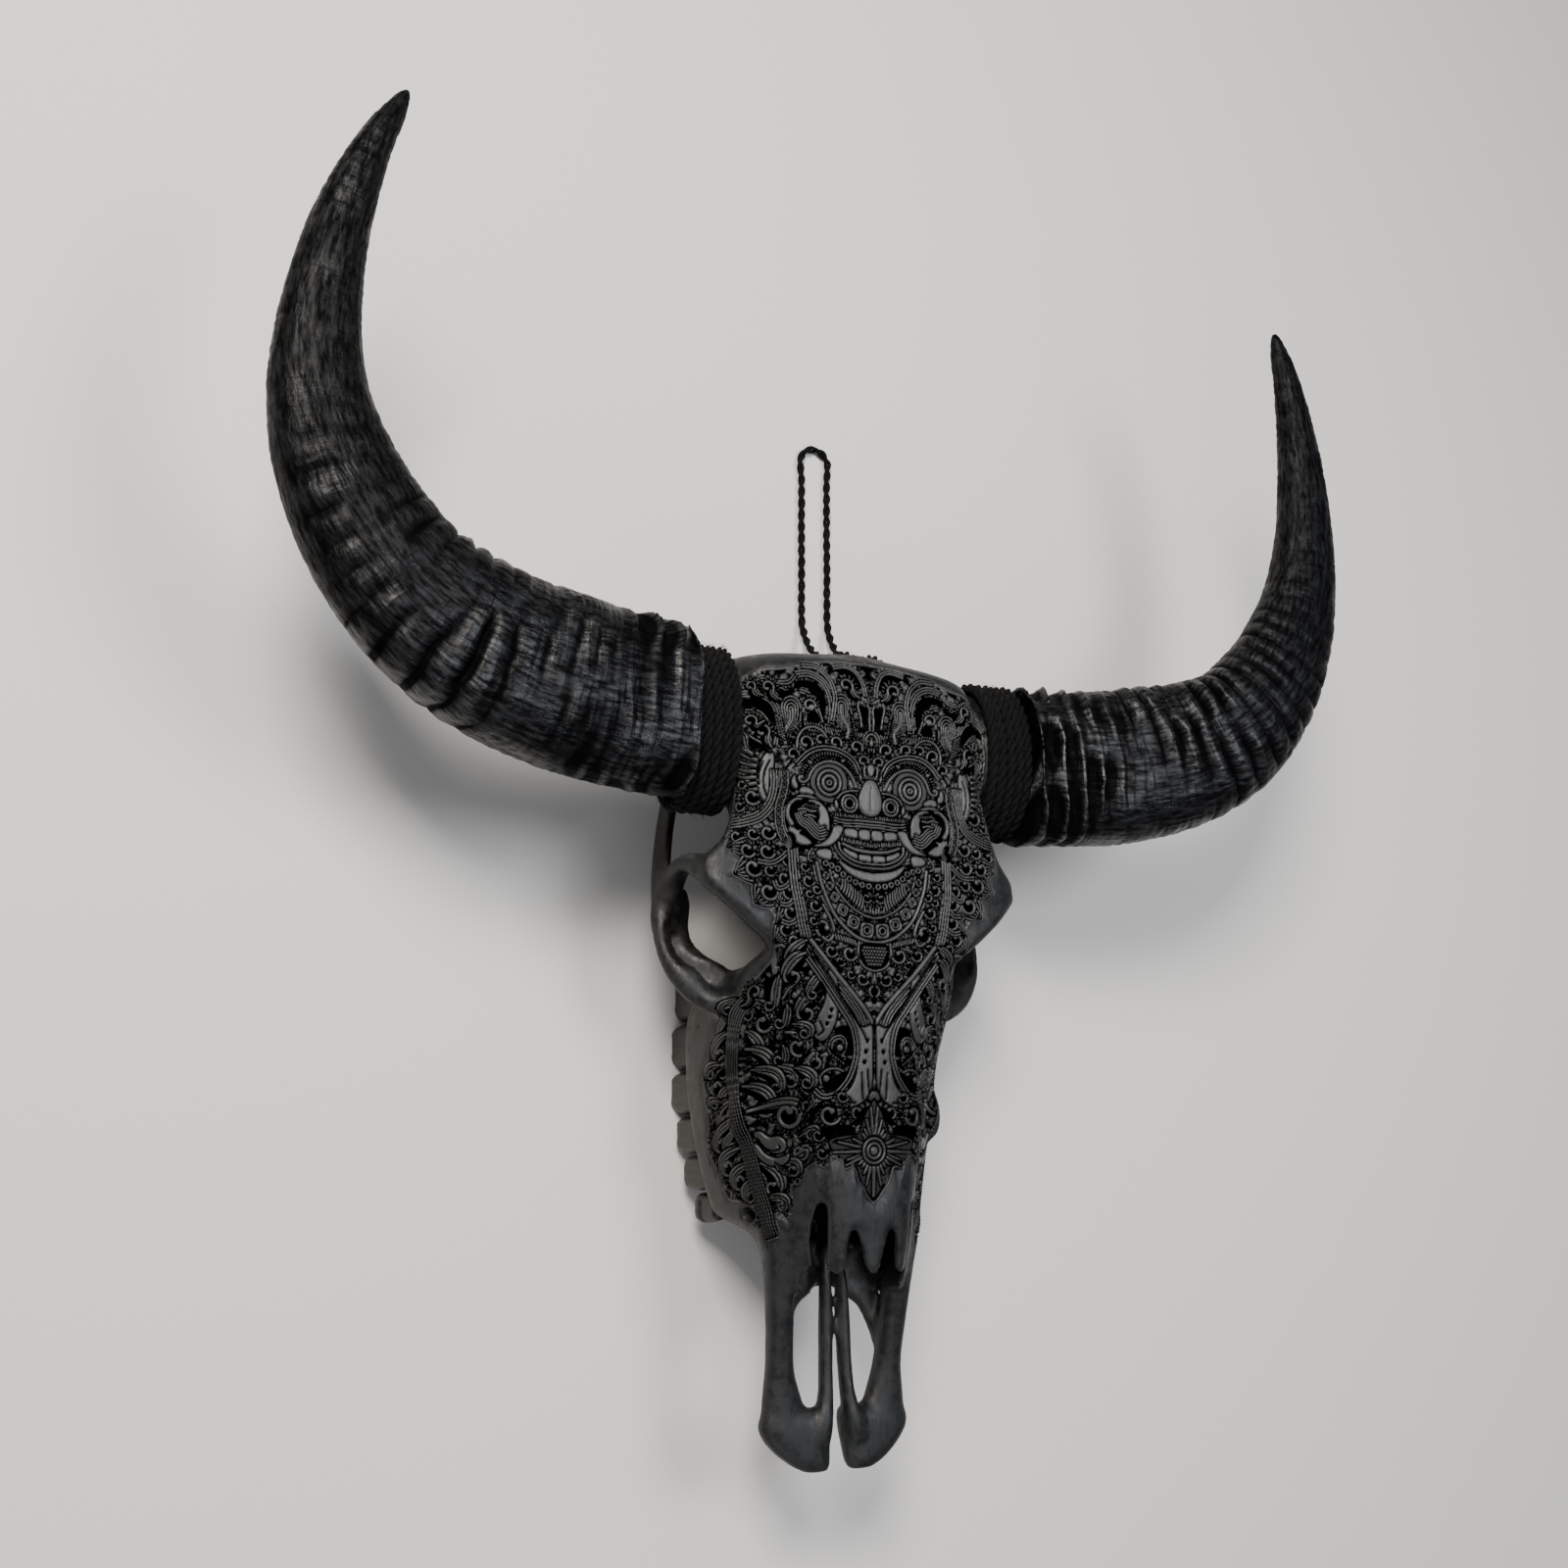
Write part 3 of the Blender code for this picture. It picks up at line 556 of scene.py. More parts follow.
def inner_bones(solid):
    """What stands inside the nose and between the flared ends: thin bars, ridges and scrolls."""
    for side in SIDES.values():
        solid.tube([(3.5, 6, -62, 2.4, 5), (5.4, -8, -57, 3.6, 5.5), (6.3, -34, -55, 4.7, 5.5),
                    (6.8, -62, -54, 4.9, 5.5), (8, -84, -52, 5.2, 6), (11, -100, -50, 7, 7),
                    (14, -112, -50, 8, 7)], side=side)
        # palate in front of the nose, with a slanting edge
        solid.tube([(22, 10, -74, 22, 3.5), (21, -10, -70, 18, 3.5), (30, -26, -65, 10, 3.5),
                    (35, -44, -61, 7, 3.5), (38, -62, -58, 5, 3.5)], side=side, power=3)
        # scrolls of the nose
        solid.tube([(22, 4, -60, 3, 10), (25, 30, -52, 5, 13), (27, 70, -50, 7, 16),
                    (28, 120, -52, 8, 18)], side=side)
    solid.tube([(0, -6, -62, 4, 5), (0, 20, -64, 3.4, 12), (0, 70, -62, 3, 22), (0, 150, -64, 3, 30)])


def hollows(solid):
    """What is open in the skull, as one form to cut away."""
    # nose cavity, from its front opening back to the throat
    solid.sectioned({
        -50: [(0, 40), (22, 30), (30, -10), (31, -45), (28, -66), (0, -67)],
        -22: [(0, 34), (24, 26), (33, -8), (33, -44), (30, -68), (0, -70)],
        -12: [(0, 14), (24, 10), (36, -14), (36, -44), (30, -69), (0, -72)],
        -5: [(0, -7), (18, -10), (34, -24), (38, -46), (30, -70), (0, -74)],
        14: [(0, -8), (20, -10), (36, -26), (46, -46), (38, -76), (0, -78)],
        50: [(0, -8), (20, -11), (38, -28), (54, -54), (42, -80), (0, -82)],
        110: [(0, -8), (24, -12), (46, -34), (60, -60), (46, -84), (0, -86)],
        160: [(0, -14), (26, -18), (42, -40), (46, -64), (30, -90), (0, -92)],
        190: [(0, -34), (18, -40), (22, -60), (18, -78), (12, -94), (0, -96)],
    }, along=4)
    # throat opening between the palate walls
    solid.tube([(0, 176, -84, 14, 12), (0, 200, -108, 14, 16), (0, 226, -134, 15, 16)], upright=(0, 1, 1))
    # vault of the palate between the rows of teeth
    solid.tube([(0, -40, -98, 26, 10), (0, 20, -114, 38, 16), (0, 70, -128, 43, 26),
                (0, 130, -132, 45, 30), (0, 172, -134, 42, 26), (0, 196, -142, 34, 20)], power=2.6)
    # great hole for the spine
    solid.tube([(0, 404, -110, 17, 15), (0, 378, -106, 16, 14), (0, 345, -92, 15, 13),
                (0, 325, -84, 8, 8)])
    for side in SIDES.values():
        # slit beside the nose bones, and the notch that forks each of their tips
        solid.tube([(36, -14, 6, 10, 24), (35, 10, 4, 7.5, 24), (33, 30, 2, 4.5, 22),
                    (31.5, 40, 0, 2.5, 18)], side=side)
        solid.tube([(11.5, -18, 0, 8.5, 14), (12, -2, 0, 7, 14), (13.5, 13, 0, 3.8, 14),
                    (14, 22, 0, 1.8, 12)], side=side)
        # small opening pierced through the side of the muzzle
        solid.blob((58, 28, -57), (14, 5, 7), side)
        # eye socket, opening to the side and running inwards
        solid.blob((97, 212, -44), (28, 33, 33), side, 0.25)
        solid.blob((73, 211, -54), (34, 25, 36), side, 0.35)
        # space behind the eye, open downwards inside the cheek arch
        solid.tube([(77, 226, -62, 25, 18), (76, 250, -70, 26, 24), (78, 276, -80, 20, 24),
                    (78, 296, -86, 13, 16)], side=side)
        solid.tube([(72, 226, -70, 22, 18), (72, 232, -100, 24, 24), (74, 238, -136, 30, 30)],
                   side=side, upright=(0, 1, 0))
    for x in CORD_LEGS:
        hole = CORD_DIAMETER / 2 + 0.8
        solid.tube([(x, 372, -60, hole, hole), (x, 402, -63.5, hole, hole)], steps=1)


def fused(name, forms, voxel, rounds):
    """Forms fused into one skin with soft creases, as an object whose modifiers still stand."""
    solid = Solid()
    for form in forms:
        form(solid)
    made = put(name, solid.mesh(name))
    modify(made, "REMESH", mode="VOXEL", voxel_size=voxel)
    modify(made, "SMOOTH", factor=0.5, iterations=rounds)
    return made


def bone_before_carving(settings):
    """The bone with its hollows and the thin bones inside them, at full detail."""
    skull = fused("bare_bone", (braincase_and_forehead, occiput, horn_cores, face, eye_sockets,
                                palate_walls, premaxillae), settings.voxel, settings.softness)
    cavities = fused("cavities", (hollows,), 2.4 * MM, 3)
    inner = fused("inner_bones", (inner_bones,), 1.8 * MM, 2)
    for other, operation in ((cavities, "DIFFERENCE"), (inner, "UNION")):
        freeze(other)
        modify(skull, "BOOLEAN", operation=operation, object=other, solver="EXACT")
    modify(skull, "REMESH", mode="VOXEL", voxel_size=settings.voxel)
    modify(skull, "SMOOTH", factor=0.5, iterations=4)
    freeze(skull)
    for used in (cavities, inner):
        bpy.data.objects.remove(used)
    return skull


# Carving
#
# The carver's drawing is laid out on the front of the skull, unrolled: s runs out from the middle
# line over the bone, and v is Y. One half is drawn, and both sides of the skull take it.

PIXEL = 0.3                 # how far apart the drawing's points lie, in mm
OVERLAP = 6.0               # how far the drawing runs over the middle line
S_REACH = 134.0             # how far it reaches out from the middle line
V_LOW, V_HIGH = 10.0, 393.0     # the heights that it lies between
NEAR = 7.0                  # how far from a form the ground still follows it
HATCH_PITCH = 1.9           # real hatching is finer, and is drawn as coarse as it needs to show


def off_line(s, v, a, b):
    """How far places lie off the straight line between two points, and where along it, from 0 to 1."""
    along = b - a
    t = np.clip(((s - a[0]) * along[0] + (v - a[1]) * along[1]) / max(along @ along, 1e-9), 0, 1)
    return np.hypot(s - a[0] - t * along[0], v - a[1] - t * along[1]), t


def beside(path):
    """The direction of a flat line at each of its points, and the one square to it."""
    along = ahead(path)
    return along, np.stack([along[:, 1], -along[:, 0]], axis=1)


def bent(start, hinge, end, count):
    """A curve between two places that first heads for a third one."""
    u = np.linspace(0, 1, count)[:, None]
    return (1 - u) ** 2 * start + 2 * u * (1 - u) * hinge + u ** 2 * end


def arc(s, v, radius, start, end, tall=1.0, count=24):
    """Points along part of a circle or an upright oval."""
    angle = np.radians(np.linspace(start, end, count))
    return np.stack([s + radius * np.cos(angle), v + radius * tall * np.sin(angle)], axis=1)


def smooth(*points, steps=8):
    """A smooth line through a few places."""
    return spline(points, steps)


def both(half):
    """A closed outline across the middle line from its half, top to bottom."""
    return list(half) + [(-s, v) for s, v in reversed(half) if s > 0.05]


class Relief:
    """Heights of the carving: 1 on the raised forms, 0 in the sunk ground, and -1 in pierced holes."""

    def __init__(self):
        self.s = np.arange(-OVERLAP, S_REACH, PIXEL)
        self.v = np.arange(V_LOW, V_HIGH, PIXEL)
        self.height = np.zeros((len(self.v), len(self.s)))
        self.gap = np.full(self.height.shape, FAR)

    def window(self, points, reach):
        """The part of the drawing within reach of some points."""
        low, high = np.min(points, axis=0) - reach, np.max(points, axis=0) + reach
        cut = []
        for k, line in ((1, self.v), (0, self.s)):
            ends = np.clip(((low[k] - line[0]) / PIXEL, (high[k] - line[0]) / PIXEL + 2), 0, len(line))
            cut.append(slice(int(ends[0]), int(ends[1])))
        rows, columns = cut
        return rows, columns, self.s[columns][None, :], self.v[rows][:, None]

    def pieces(self, points, widths, reach):
        """For each short piece of a line: its window, the distance to it and its half width there."""
        for k in range(len(points) - 1):
            a, b = points[k], points[k + 1]
            rows, columns, s, v = self.window((a, b), reach + max(widths[k], widths[k + 1]))
            off, t = off_line(s, v, a, b)
            half = (widths[k] + (widths[k + 1] - widths[k]) * t) / 2
            yield self.height[rows, columns], self.gap[rows, columns], off, half

    def ribbon(self, points, width, end=None, level=1.0, margin=0.75):
        """A raised band along a line, with a dark line on both sides of it."""
        points = np.asarray(points, float)
        widths = np.linspace(width, width if end is None else end, len(points))
        for height, gap, off, half in self.pieces(points, widths, margin):
            cut = (off < half + margin) & (gap <= 0)
            height[cut] = np.minimum(height[cut], 0)
        for height, gap, off, half in self.pieces(points, widths, NEAR):
            crown = level * (1 - 0.22 * (off / half) ** 4) * np.clip((half - off) / 0.3 + 0.6, 0, 1)
            inside = off < half + 0.2
            height[inside] = np.maximum(height[inside], crown[inside])
            np.minimum(gap, off - half, out=gap)

    def groove(self, points, width, end=None, floor=0.0):
        """A cut line over what is already there."""
        points = np.asarray(points, float)
        widths = np.linspace(width, width if end is None else end, len(points))
        for height, _, off, half in self.pieces(points, widths, 0.4):
            wall = np.clip((off - half) / 0.35 + 0.5, 0, 1)
            np.minimum(height, floor + (1.2 - floor) * wall, out=height)

    def line(self, width, *places, end=None, level=1.0, steps=8):
        """A raised band through a few places."""
        self.ribbon(spline(places, steps), width, end, level)

    def lines(self, offsets, width, *places, end=None):
        """Bands that follow a smooth line at these distances from it."""
        path = spline(places, 8)
        for offset in offsets:
            self.ribbon(path + beside(path)[1] * offset, width, end)

    def cut(self, width, *places, end=None, floor=0.0):
        """A cut line through a few places."""
        self.groove(spline(places, 8), width, end, floor)

    def outline(self, points, steps):
        """A closed curve's window, and how far each point of the window lies outside the curve."""
        ring = spline(points, steps, closed=True) if steps else np.asarray(points, float)
        rows, columns, s, v = self.window(ring, NEAR)
        off = np.full((s + v).shape, FAR)
        inside = np.zeros(off.shape, bool)
        for a, b in zip(ring, np.roll(ring, -1, axis=0)):
            off = np.minimum(off, off_line(s, v, a, b)[0])
            rise = b[1] - a[1] if abs(b[1] - a[1]) > 1e-9 else 1e-9
            inside ^= ((a[1] > v) != (b[1] > v)) & (s < a[0] + (b[0] - a[0]) * (v - a[1]) / rise)
        return rows, columns, np.where(inside, -off, off)

    def plate(self, points, level=1.0, dome=0.0, steps=5, margin=0.75):
        """A raised smooth form inside an outline, with a dark line round it."""
        rows, columns, off = self.outline(points, steps)
        height, gap = self.height[rows, columns], self.gap[rows, columns]
        cut = (off < margin) & (gap <= 0)
        height[cut] = np.minimum(height[cut], 0)
        inside = off < 0
        top = level * np.clip(-off / 0.45, 0, 1) + dome * (1 - np.exp(off / 2.2))
        height[inside] = top[inside]
        np.minimum(gap, off, out=gap)

    def hole(self, points, floor=-1.0, steps=5):
        """A pierced hole inside an outline."""
        rows, columns, off = self.outline(points, steps)
        height, gap = self.height[rows, columns], self.gap[rows, columns]
        inside = off < 0
        height[inside] = (floor * np.clip(-off / 0.6, 0, 1))[inside]
        np.minimum(gap, off, out=gap)

    def rings(self, s, v, *bands):
        """Rings round a point, given as (inner radius, outer radius, height)."""
        reach = max(outer for inner, outer, level in bands)
        rows, columns, ss, vv = self.window([(s, v)], reach + NEAR)
        off = np.hypot(ss - s, vv - v)
        height, gap = self.height[rows, columns], self.gap[rows, columns]
        for inner, outer, level in bands:
            within = (off >= inner) & (off < outer)
            edge = np.minimum(off - inner, outer - off) if inner else outer - off
            top = level * np.clip(edge / 0.3 + 0.3, 0, 1) if level > 0 else np.full(off.shape, level)
            height[within] = top[within]
        np.minimum(gap, off - reach, out=gap)

    def ball(self, s, v, radius, level=1.0):
        """A small round knob or pit."""
        self.rings(s, v, (0, radius, level))

    def fan(self, points, length, side=1, lean=0.35, width=0.95):
        """Short raised ticks along one side of a line, each leaning along it."""
        path = even(np.asarray(points, float), HATCH_PITCH)
        along, out = beside(path)
        for k in range(len(path)):
            share = k / max(1, len(path) - 1)
            reach = length * (0.45 + 0.55 * sin(pi * (0.12 + 0.8 * share)))
            start = path[k] + out[k] * side * 0.7
            direction = out[k] * side + along[k] * lean
            self.ribbon([start, start + direction * reach], width, width * 0.5, level=0.86)

    def hatch(self, start, end, reach, pitch=HATCH_PITCH, width=1.0, bend=0.0):
        """Parallel strokes between two places, each as long and slanted as reach says."""
        start, end, reach = np.array(start, float), np.array(end, float), np.array(reach, float)
        count = max(2, int(round(np.linalg.norm(end - start) / pitch)) + 1)
        middle = reach * 0.5 + np.array([-reach[1], reach[0]]) * bend
        for t in np.linspace(0, 1, count):
            root = start + (end - start) * t
            self.ribbon(smooth(root, root + middle, root + reach, steps=3), width, width * 0.6)

    def teardrop(self, s, v, length, width, heading):
        """A small raised drop, pointed where it heads."""
        a = radians(heading)
        forward, aside = np.array([cos(a), sin(a)]), np.array([-sin(a), cos(a)])
        shape = [(0.5, 0), (0.12, 0.32), (-0.25, 0.5), (-0.5, 0), (-0.25, -0.5), (0.12, -0.32)]
        self.plate([np.array([s, v]) + forward * x * length + aside * y * width for x, y in shape],
                   steps=3, margin=0.6)

    def flame(self, s, v, radius, tail, turns=4, tall=1.25):
        """A drop made of nested hairpin lines that run on together as a tail."""
        line = smooth((s, v), *tail)[::-1]
        out = beside(line)[1]
        t = np.linspace(0, 1, len(line))[:, None]
        for k in range(turns):
            head, end = radius - 1.9 * k, 0.95 * (turns - k) - 0.4
            wide = end + (head - end) * t ** 1.6
            top = arc(s, v, head, 180, 0, tall)
            self.ribbon(np.concatenate([line - out * wide, top, (line + out * wide)[::-1]]), 1.1)

    def curl(self, s, v, radius, start=200, turn=1, stem=None, ribs=2.4, tip=None, deep=-0.7):
        """A leaf scroll: a band sweeps in from a stem and winds round a hollow, with ribs on its back."""
        t = np.linspace(0, 1, 22)
        angle = radians(start) + turn * radians(290) * t
        centre = np.array([s, v], float)
        reach = radius * (0.95 - 0.66 * t ** 1.25)
        wind = centre + reach[:, None] * np.stack([np.cos(angle), np.sin(angle)], axis=1)
        wide = min(3.0, max(1.2, 0.32 * radius))
        lead = wind[:1]
        if stem is not None:
            heading = turn * np.array([-sin(angle[0]), cos(angle[0])])
            root = np.array(stem, float)
            hinge = wind[0] - heading * np.linalg.norm(wind[0] - root) * 0.55
            lead = bent(root, hinge, wind[0], 11)[:-1]
        back = np.concatenate([lead[len(lead) // 2:], wind[1:14]])
        self.fan(back, ribs * (0.8 + 0.12 * radius), side=turn, lean=0.25, width=1.15)
        if tip is not None:
            self.leaf_tip(centre, np.array(tip, float), radius)
        self.hole(centre + arc(0, 0, 0.60 * radius, 0, 330, count=12), floor=deep, steps=2)
        if stem is not None:
            self.blade(np.concatenate([lead, wind[:3]]), -turn)
        self.ribbon(np.concatenate([lead, wind]), wide * 0.8, wide)
        self.ball(*wind[-1], max(0.9, 0.27 * radius))

    def blade(self, path, inward):
        """A smooth leaf along a line, with a groove down it and a black hollow inside its bend."""
        out = beside(path)[1]
        swell = np.sin(pi * np.linspace(0.03, 0.97, len(path)))[:, None] ** 0.8
        length = run_along(path)[-1]
        half = 0.9 + min(3.0, 0.14 * length) * swell
        deep = half + 0.4 + min(3.4, 0.17 * length) * swell
        self.hole(np.concatenate([path + out * inward * half, (path + out * inward * deep)[::-1]]), steps=0)
        self.plate(np.concatenate([path + out * half, (path - out * half)[::-1]]), 0.95, steps=0)
        if length > 12:
            self.groove(path[3:-3] + out[3:-3] * inward * 0.5, 0.9, 0.5)

    def leaf_tip(self, base, tip, radius):
        """Ribs that run from the back of a scroll to the pointed tip of its leaf."""
        forward = unit(tip - base)
        across = np.array([-forward[1], forward[0]])
        for k in (-1.0, -0.6, -0.2, 0.2, 0.6, 1.0):
            root = base + across * k * radius * 1.25 + forward * radius * 0.55
            hinge = base + across * k * radius * 0.95 + forward * radius * 1.25
            self.ribbon(bent(root, hinge, tip - forward * abs(k) * 0.3, 8), 1.3, 0.6, level=0.92, margin=0.5)

    def strokes(self):
        """Short cuts all over the ground, each square to the nearest form, from 0 to 1."""
        across, along = np.gradient(np.minimum(self.gap, NEAR), PIXEL)
        places = np.stack([*np.meshgrid(self.s, self.v), 0 * self.gap], axis=-1)
        forward = np.stack([along, across, 0 * self.gap], axis=-1)
        steps = np.arange(-2.4, 2.5, 0.6)
        total = sum(value_noise(places + forward * k, (1.35, 1.35, 9), 3) for k in steps)
        return np.clip(0.5 + 2.0 * total / len(steps), 0, 1)

    def finish(self, region):
        """Cuts strokes in the ground between the forms, and tells how far each place lies outside."""
        open_ground = self.gap > 0
        near = np.clip((self.gap - 0.45) / 0.4, 0, 1) * np.clip(2.2 - self.gap / 3.0, 0, 1)
        self.height = np.where(open_ground, (0.1 + 0.8 * self.strokes()) * near, self.height)
        rows, columns, off = self.outline(region, 3)
        outside = np.full(self.height.shape, FAR)
        outside[rows, columns] = off
        rim = np.clip((self.gap - 0.7) / 0.5, 0, 1)
        self.height = np.where((outside > 0) & open_ground, rim, self.height)
        return np.minimum(outside, self.gap - 0.4)


def draw_eye(relief):
    """The staring eye with its lid, lashes and brow."""
    eye = (30.5, 301)
    lid = smooth((10.6, 299.5), (13.5, 305.5), (18.5, 311), (25.3, 314.5), (32.3, 315), (39.3, 312),
                 (43.6, 307), (45.5, 302.3), (48.3, 300), (51.5, 300.6), (52, 303.2), (50, 303.8))
    lashes = smooth((9, 303), (12, 309), (17.5, 315), (25, 318.4), (33, 318.6), (41, 315.5), (46.5, 309.5),
                    (49, 305.5))
    relief.fan(lashes, 3.4, side=-1, lean=0.1, width=1.0)
    relief.fan(lid[6:-24], 3.0, side=-1, lean=0.0, width=1.0)
    # the brow, a pair of lines over the lashes
    relief.lines((-1.25, 1.0), 1.15, (8.5, 309), (13, 317), (21, 322), (30, 324), (39, 323), (47, 319),
                 (54, 311.5))
    relief.rings(*eye, (9.9, 13.4, 0.62), (9.1, 9.9, 0.0), (7.0, 9.1, 1.0), (5.8, 7.0, 0.0),
                 (3.4, 5.8, 1.0), (2.2, 3.4, 0.0), (0.8, 2.2, 1.0), (0, 0.8, 0.0))
    relief.groove(arc(28.5, 303.5, 14.6, 20, 160), 0.9)
    relief.ribbon(lid, 1.9, 1.5)
    relief.ball(10.8, 300.2, 1.4)
    relief.ball(50.2, 303.2, 1.3)
    relief.teardrop(20.5, 316.8, 4.6, 3.0, 150)
    relief.teardrop(45, 313.5, 4.6, 3.0, 30)
    relief.plate([(41, 293.6), (45, 296.6), (50, 296.8), (52, 293.4), (48, 291), (43, 291.4)], steps=4)
    relief.plate([(55, 304.6), (57, 302), (57.6, 298.5), (56, 295.4), (53, 294.8), (52.6, 297.6),
                  (54, 300.5)])
    relief.teardrop(7.6, 307, 8.5, 2.4, 72)
    relief.teardrop(5.8, 303.5, 5, 1.8, 75)


def draw_nose_and_mouth(relief):
    """The broad nose, the bared teeth between their lips, and the tusk."""
    relief.line(0.9, (2, 281), (8, 281.8), (12, 280), (17, 280), (22, 281.5), (28, 281))
    relief.hatch((0.5, 279.3), (26, 279.3), (0, 2.2), pitch=1.75, width=0.95)
    for y in (277.6, 275.6, 273.7):
        relief.line(1.0, (-6, y), (8, y + 0.3), (18, y - 0.4), (27, y + 0.6))
    relief.plate(both([(0, 305.8), (4, 304.2), (6.8, 299), (8.8, 293), (8.7, 287), (6, 282.8),
                       (2.5, 281.3), (0, 281)]), level=0.78, dome=0.5)
    relief.groove([(0.0, 300), (0.0, 285)], 0.5, floor=0.55)
    relief.rings(15.5, 288.5, (6.4, 7.2, 0.0), (4.8, 6.4, 1.0), (4.0, 4.8, 0.0), (2.6, 4.0, 1.0),
                 (0, 2.6, -0.9))
    relief.plate([(24, 283.5), (26.5, 286), (26, 290.5), (24, 288.5)], steps=3)
    relief.line(1.2, (9, 297.4), (15, 297), (21, 294.8), (24.5, 291))
    relief.plate([(0.7, 265.6), (0.7, 271.6), (4.8, 272.4), (8.7, 271.2), (8.9, 266), (4.8, 264.9)],
                 steps=2)
    relief.plate([(10.2, 266), (10.2, 271.2), (15, 272.2), (19.6, 271.4), (19.6, 267), (15, 266)], steps=2)
    relief.hatch((0.8, 261), (21.5, 263.5), (0.3, 2.5), pitch=1.8)
    relief.plate([(-6, 258.7), (0, 258.7), (12, 259.7), (21, 262.7), (22, 261.2), (12, 257.3), (0, 256.2),
                  (-6, 256.2)], steps=2)
    relief.plate([(0.7, 250.9), (0.7, 255.2), (5, 255.7), (9.6, 255.4), (9.8, 251.6), (5, 250.8)], steps=2)
    relief.plate([(10.9, 252.2), (11.2, 256), (16, 257.5), (20.8, 259.4), (20.6, 255.9), (16, 253.4)],
                 steps=2)
    relief.line(1.3, (-6, 249.6), (0, 249.7), (10, 250.3), (18, 253.2), (23.3, 257.5), (24.3, 262.5))
    dotted = smooth((0, 246.9), (12, 248), (21, 252), (26.5, 258), (27.5, 262), steps=10)
    relief.ribbon(dotted, 2.2, level=0.5)
    for s, v in even(dotted, 1.9):
        relief.ball(s, v, 0.55)
    relief.plate([(-6, 238), (0, 238), (10, 239), (19, 243), (24.8, 249.4), (23.5, 250.3), (14, 246),
                  (0, 244), (-6, 244)], level=0.95, steps=3)
    relief.plate([(20.4, 272.2), (23.5, 273.6), (27.2, 272.6), (29, 268.8), (32, 264.4), (37, 261),
                  (43, 258.6), (37, 258.2), (30.5, 259.6), (25.4, 263.4), (21.8, 268)], steps=4)
    relief.plate([(30.5, 250.4), (36, 250.6), (39.8, 251.8), (41, 254.6), (38.4, 257), (30.3, 257.2)],
                 steps=2)
    relief.ball(44, 254, 1.6)
    relief.line(1.1, (43.5, 257), (46.5, 253), (46.5, 249.5), (44, 248.5))


def draw_cheek(relief):
    """The round cheek with its crescents and the leaf inside, and the bead chain beside it."""
    cheek = (47, 274.5)
    relief.ball(*cheek, 17.6, 0.0)
    relief.ribbon(arc(*cheek, 16.2, -75, 250, count=50), 1.9)
    relief.plate([(30.6, 269.8), (30.6, 278), (33, 284), (38, 288), (43, 288.8), (46, 287.4),
                  (41.2, 286.4), (38.6, 283), (37.6, 278), (38.8, 274), (36.6, 271), (33, 269.2)], steps=4)
    relief.plate([(43.5, 260.2), (49, 258.3), (55, 260), (59, 264.5), (59.6, 269.5), (57.6, 272.6),
                  (55.4, 269.4), (53, 268.4), (50, 268.8), (52, 266), (48.4, 264.6)], steps=4)
    relief.line(3.2, (57.5, 272), (60, 277), (59, 283.5), (54.5, 288), (50.5, 288.4), end=1.4)
    relief.lines((-3.6, -1.8, 0, 1.8, 3.6), 1.0, (33, 268.2), (38, 266.8), (42, 269.6), (45.5, 273),
                 (49.2, 275), (51.5, 280))
    relief.hatch((38.5, 284.2), (47, 285.4), (3.6, -2.2))
    relief.line(1.2, (40, 281.5), (44, 281), (48, 282.5), (52.5, 281.5))
    relief.line(1.2, (40.5, 277.5), (44.5, 278.5), (48, 277.8))
    relief.hole(arc(58.8, 260.8, 3.7, 0, 345, 1.5, 12), floor=-1.6, steps=2)
    chain = [(62.5, 261), (65.5, 268), (66.5, 276), (65.5, 284), (63.5, 290), (62, 298), (62.5, 306)]
    relief.lines((-2.3, 2.3), 0.9, *chain)
    for s, v in even(smooth(*chain), 3.0):
        relief.rings(s, v, (0.9, 1.5, 0.9), (0, 0.9, 0.25))


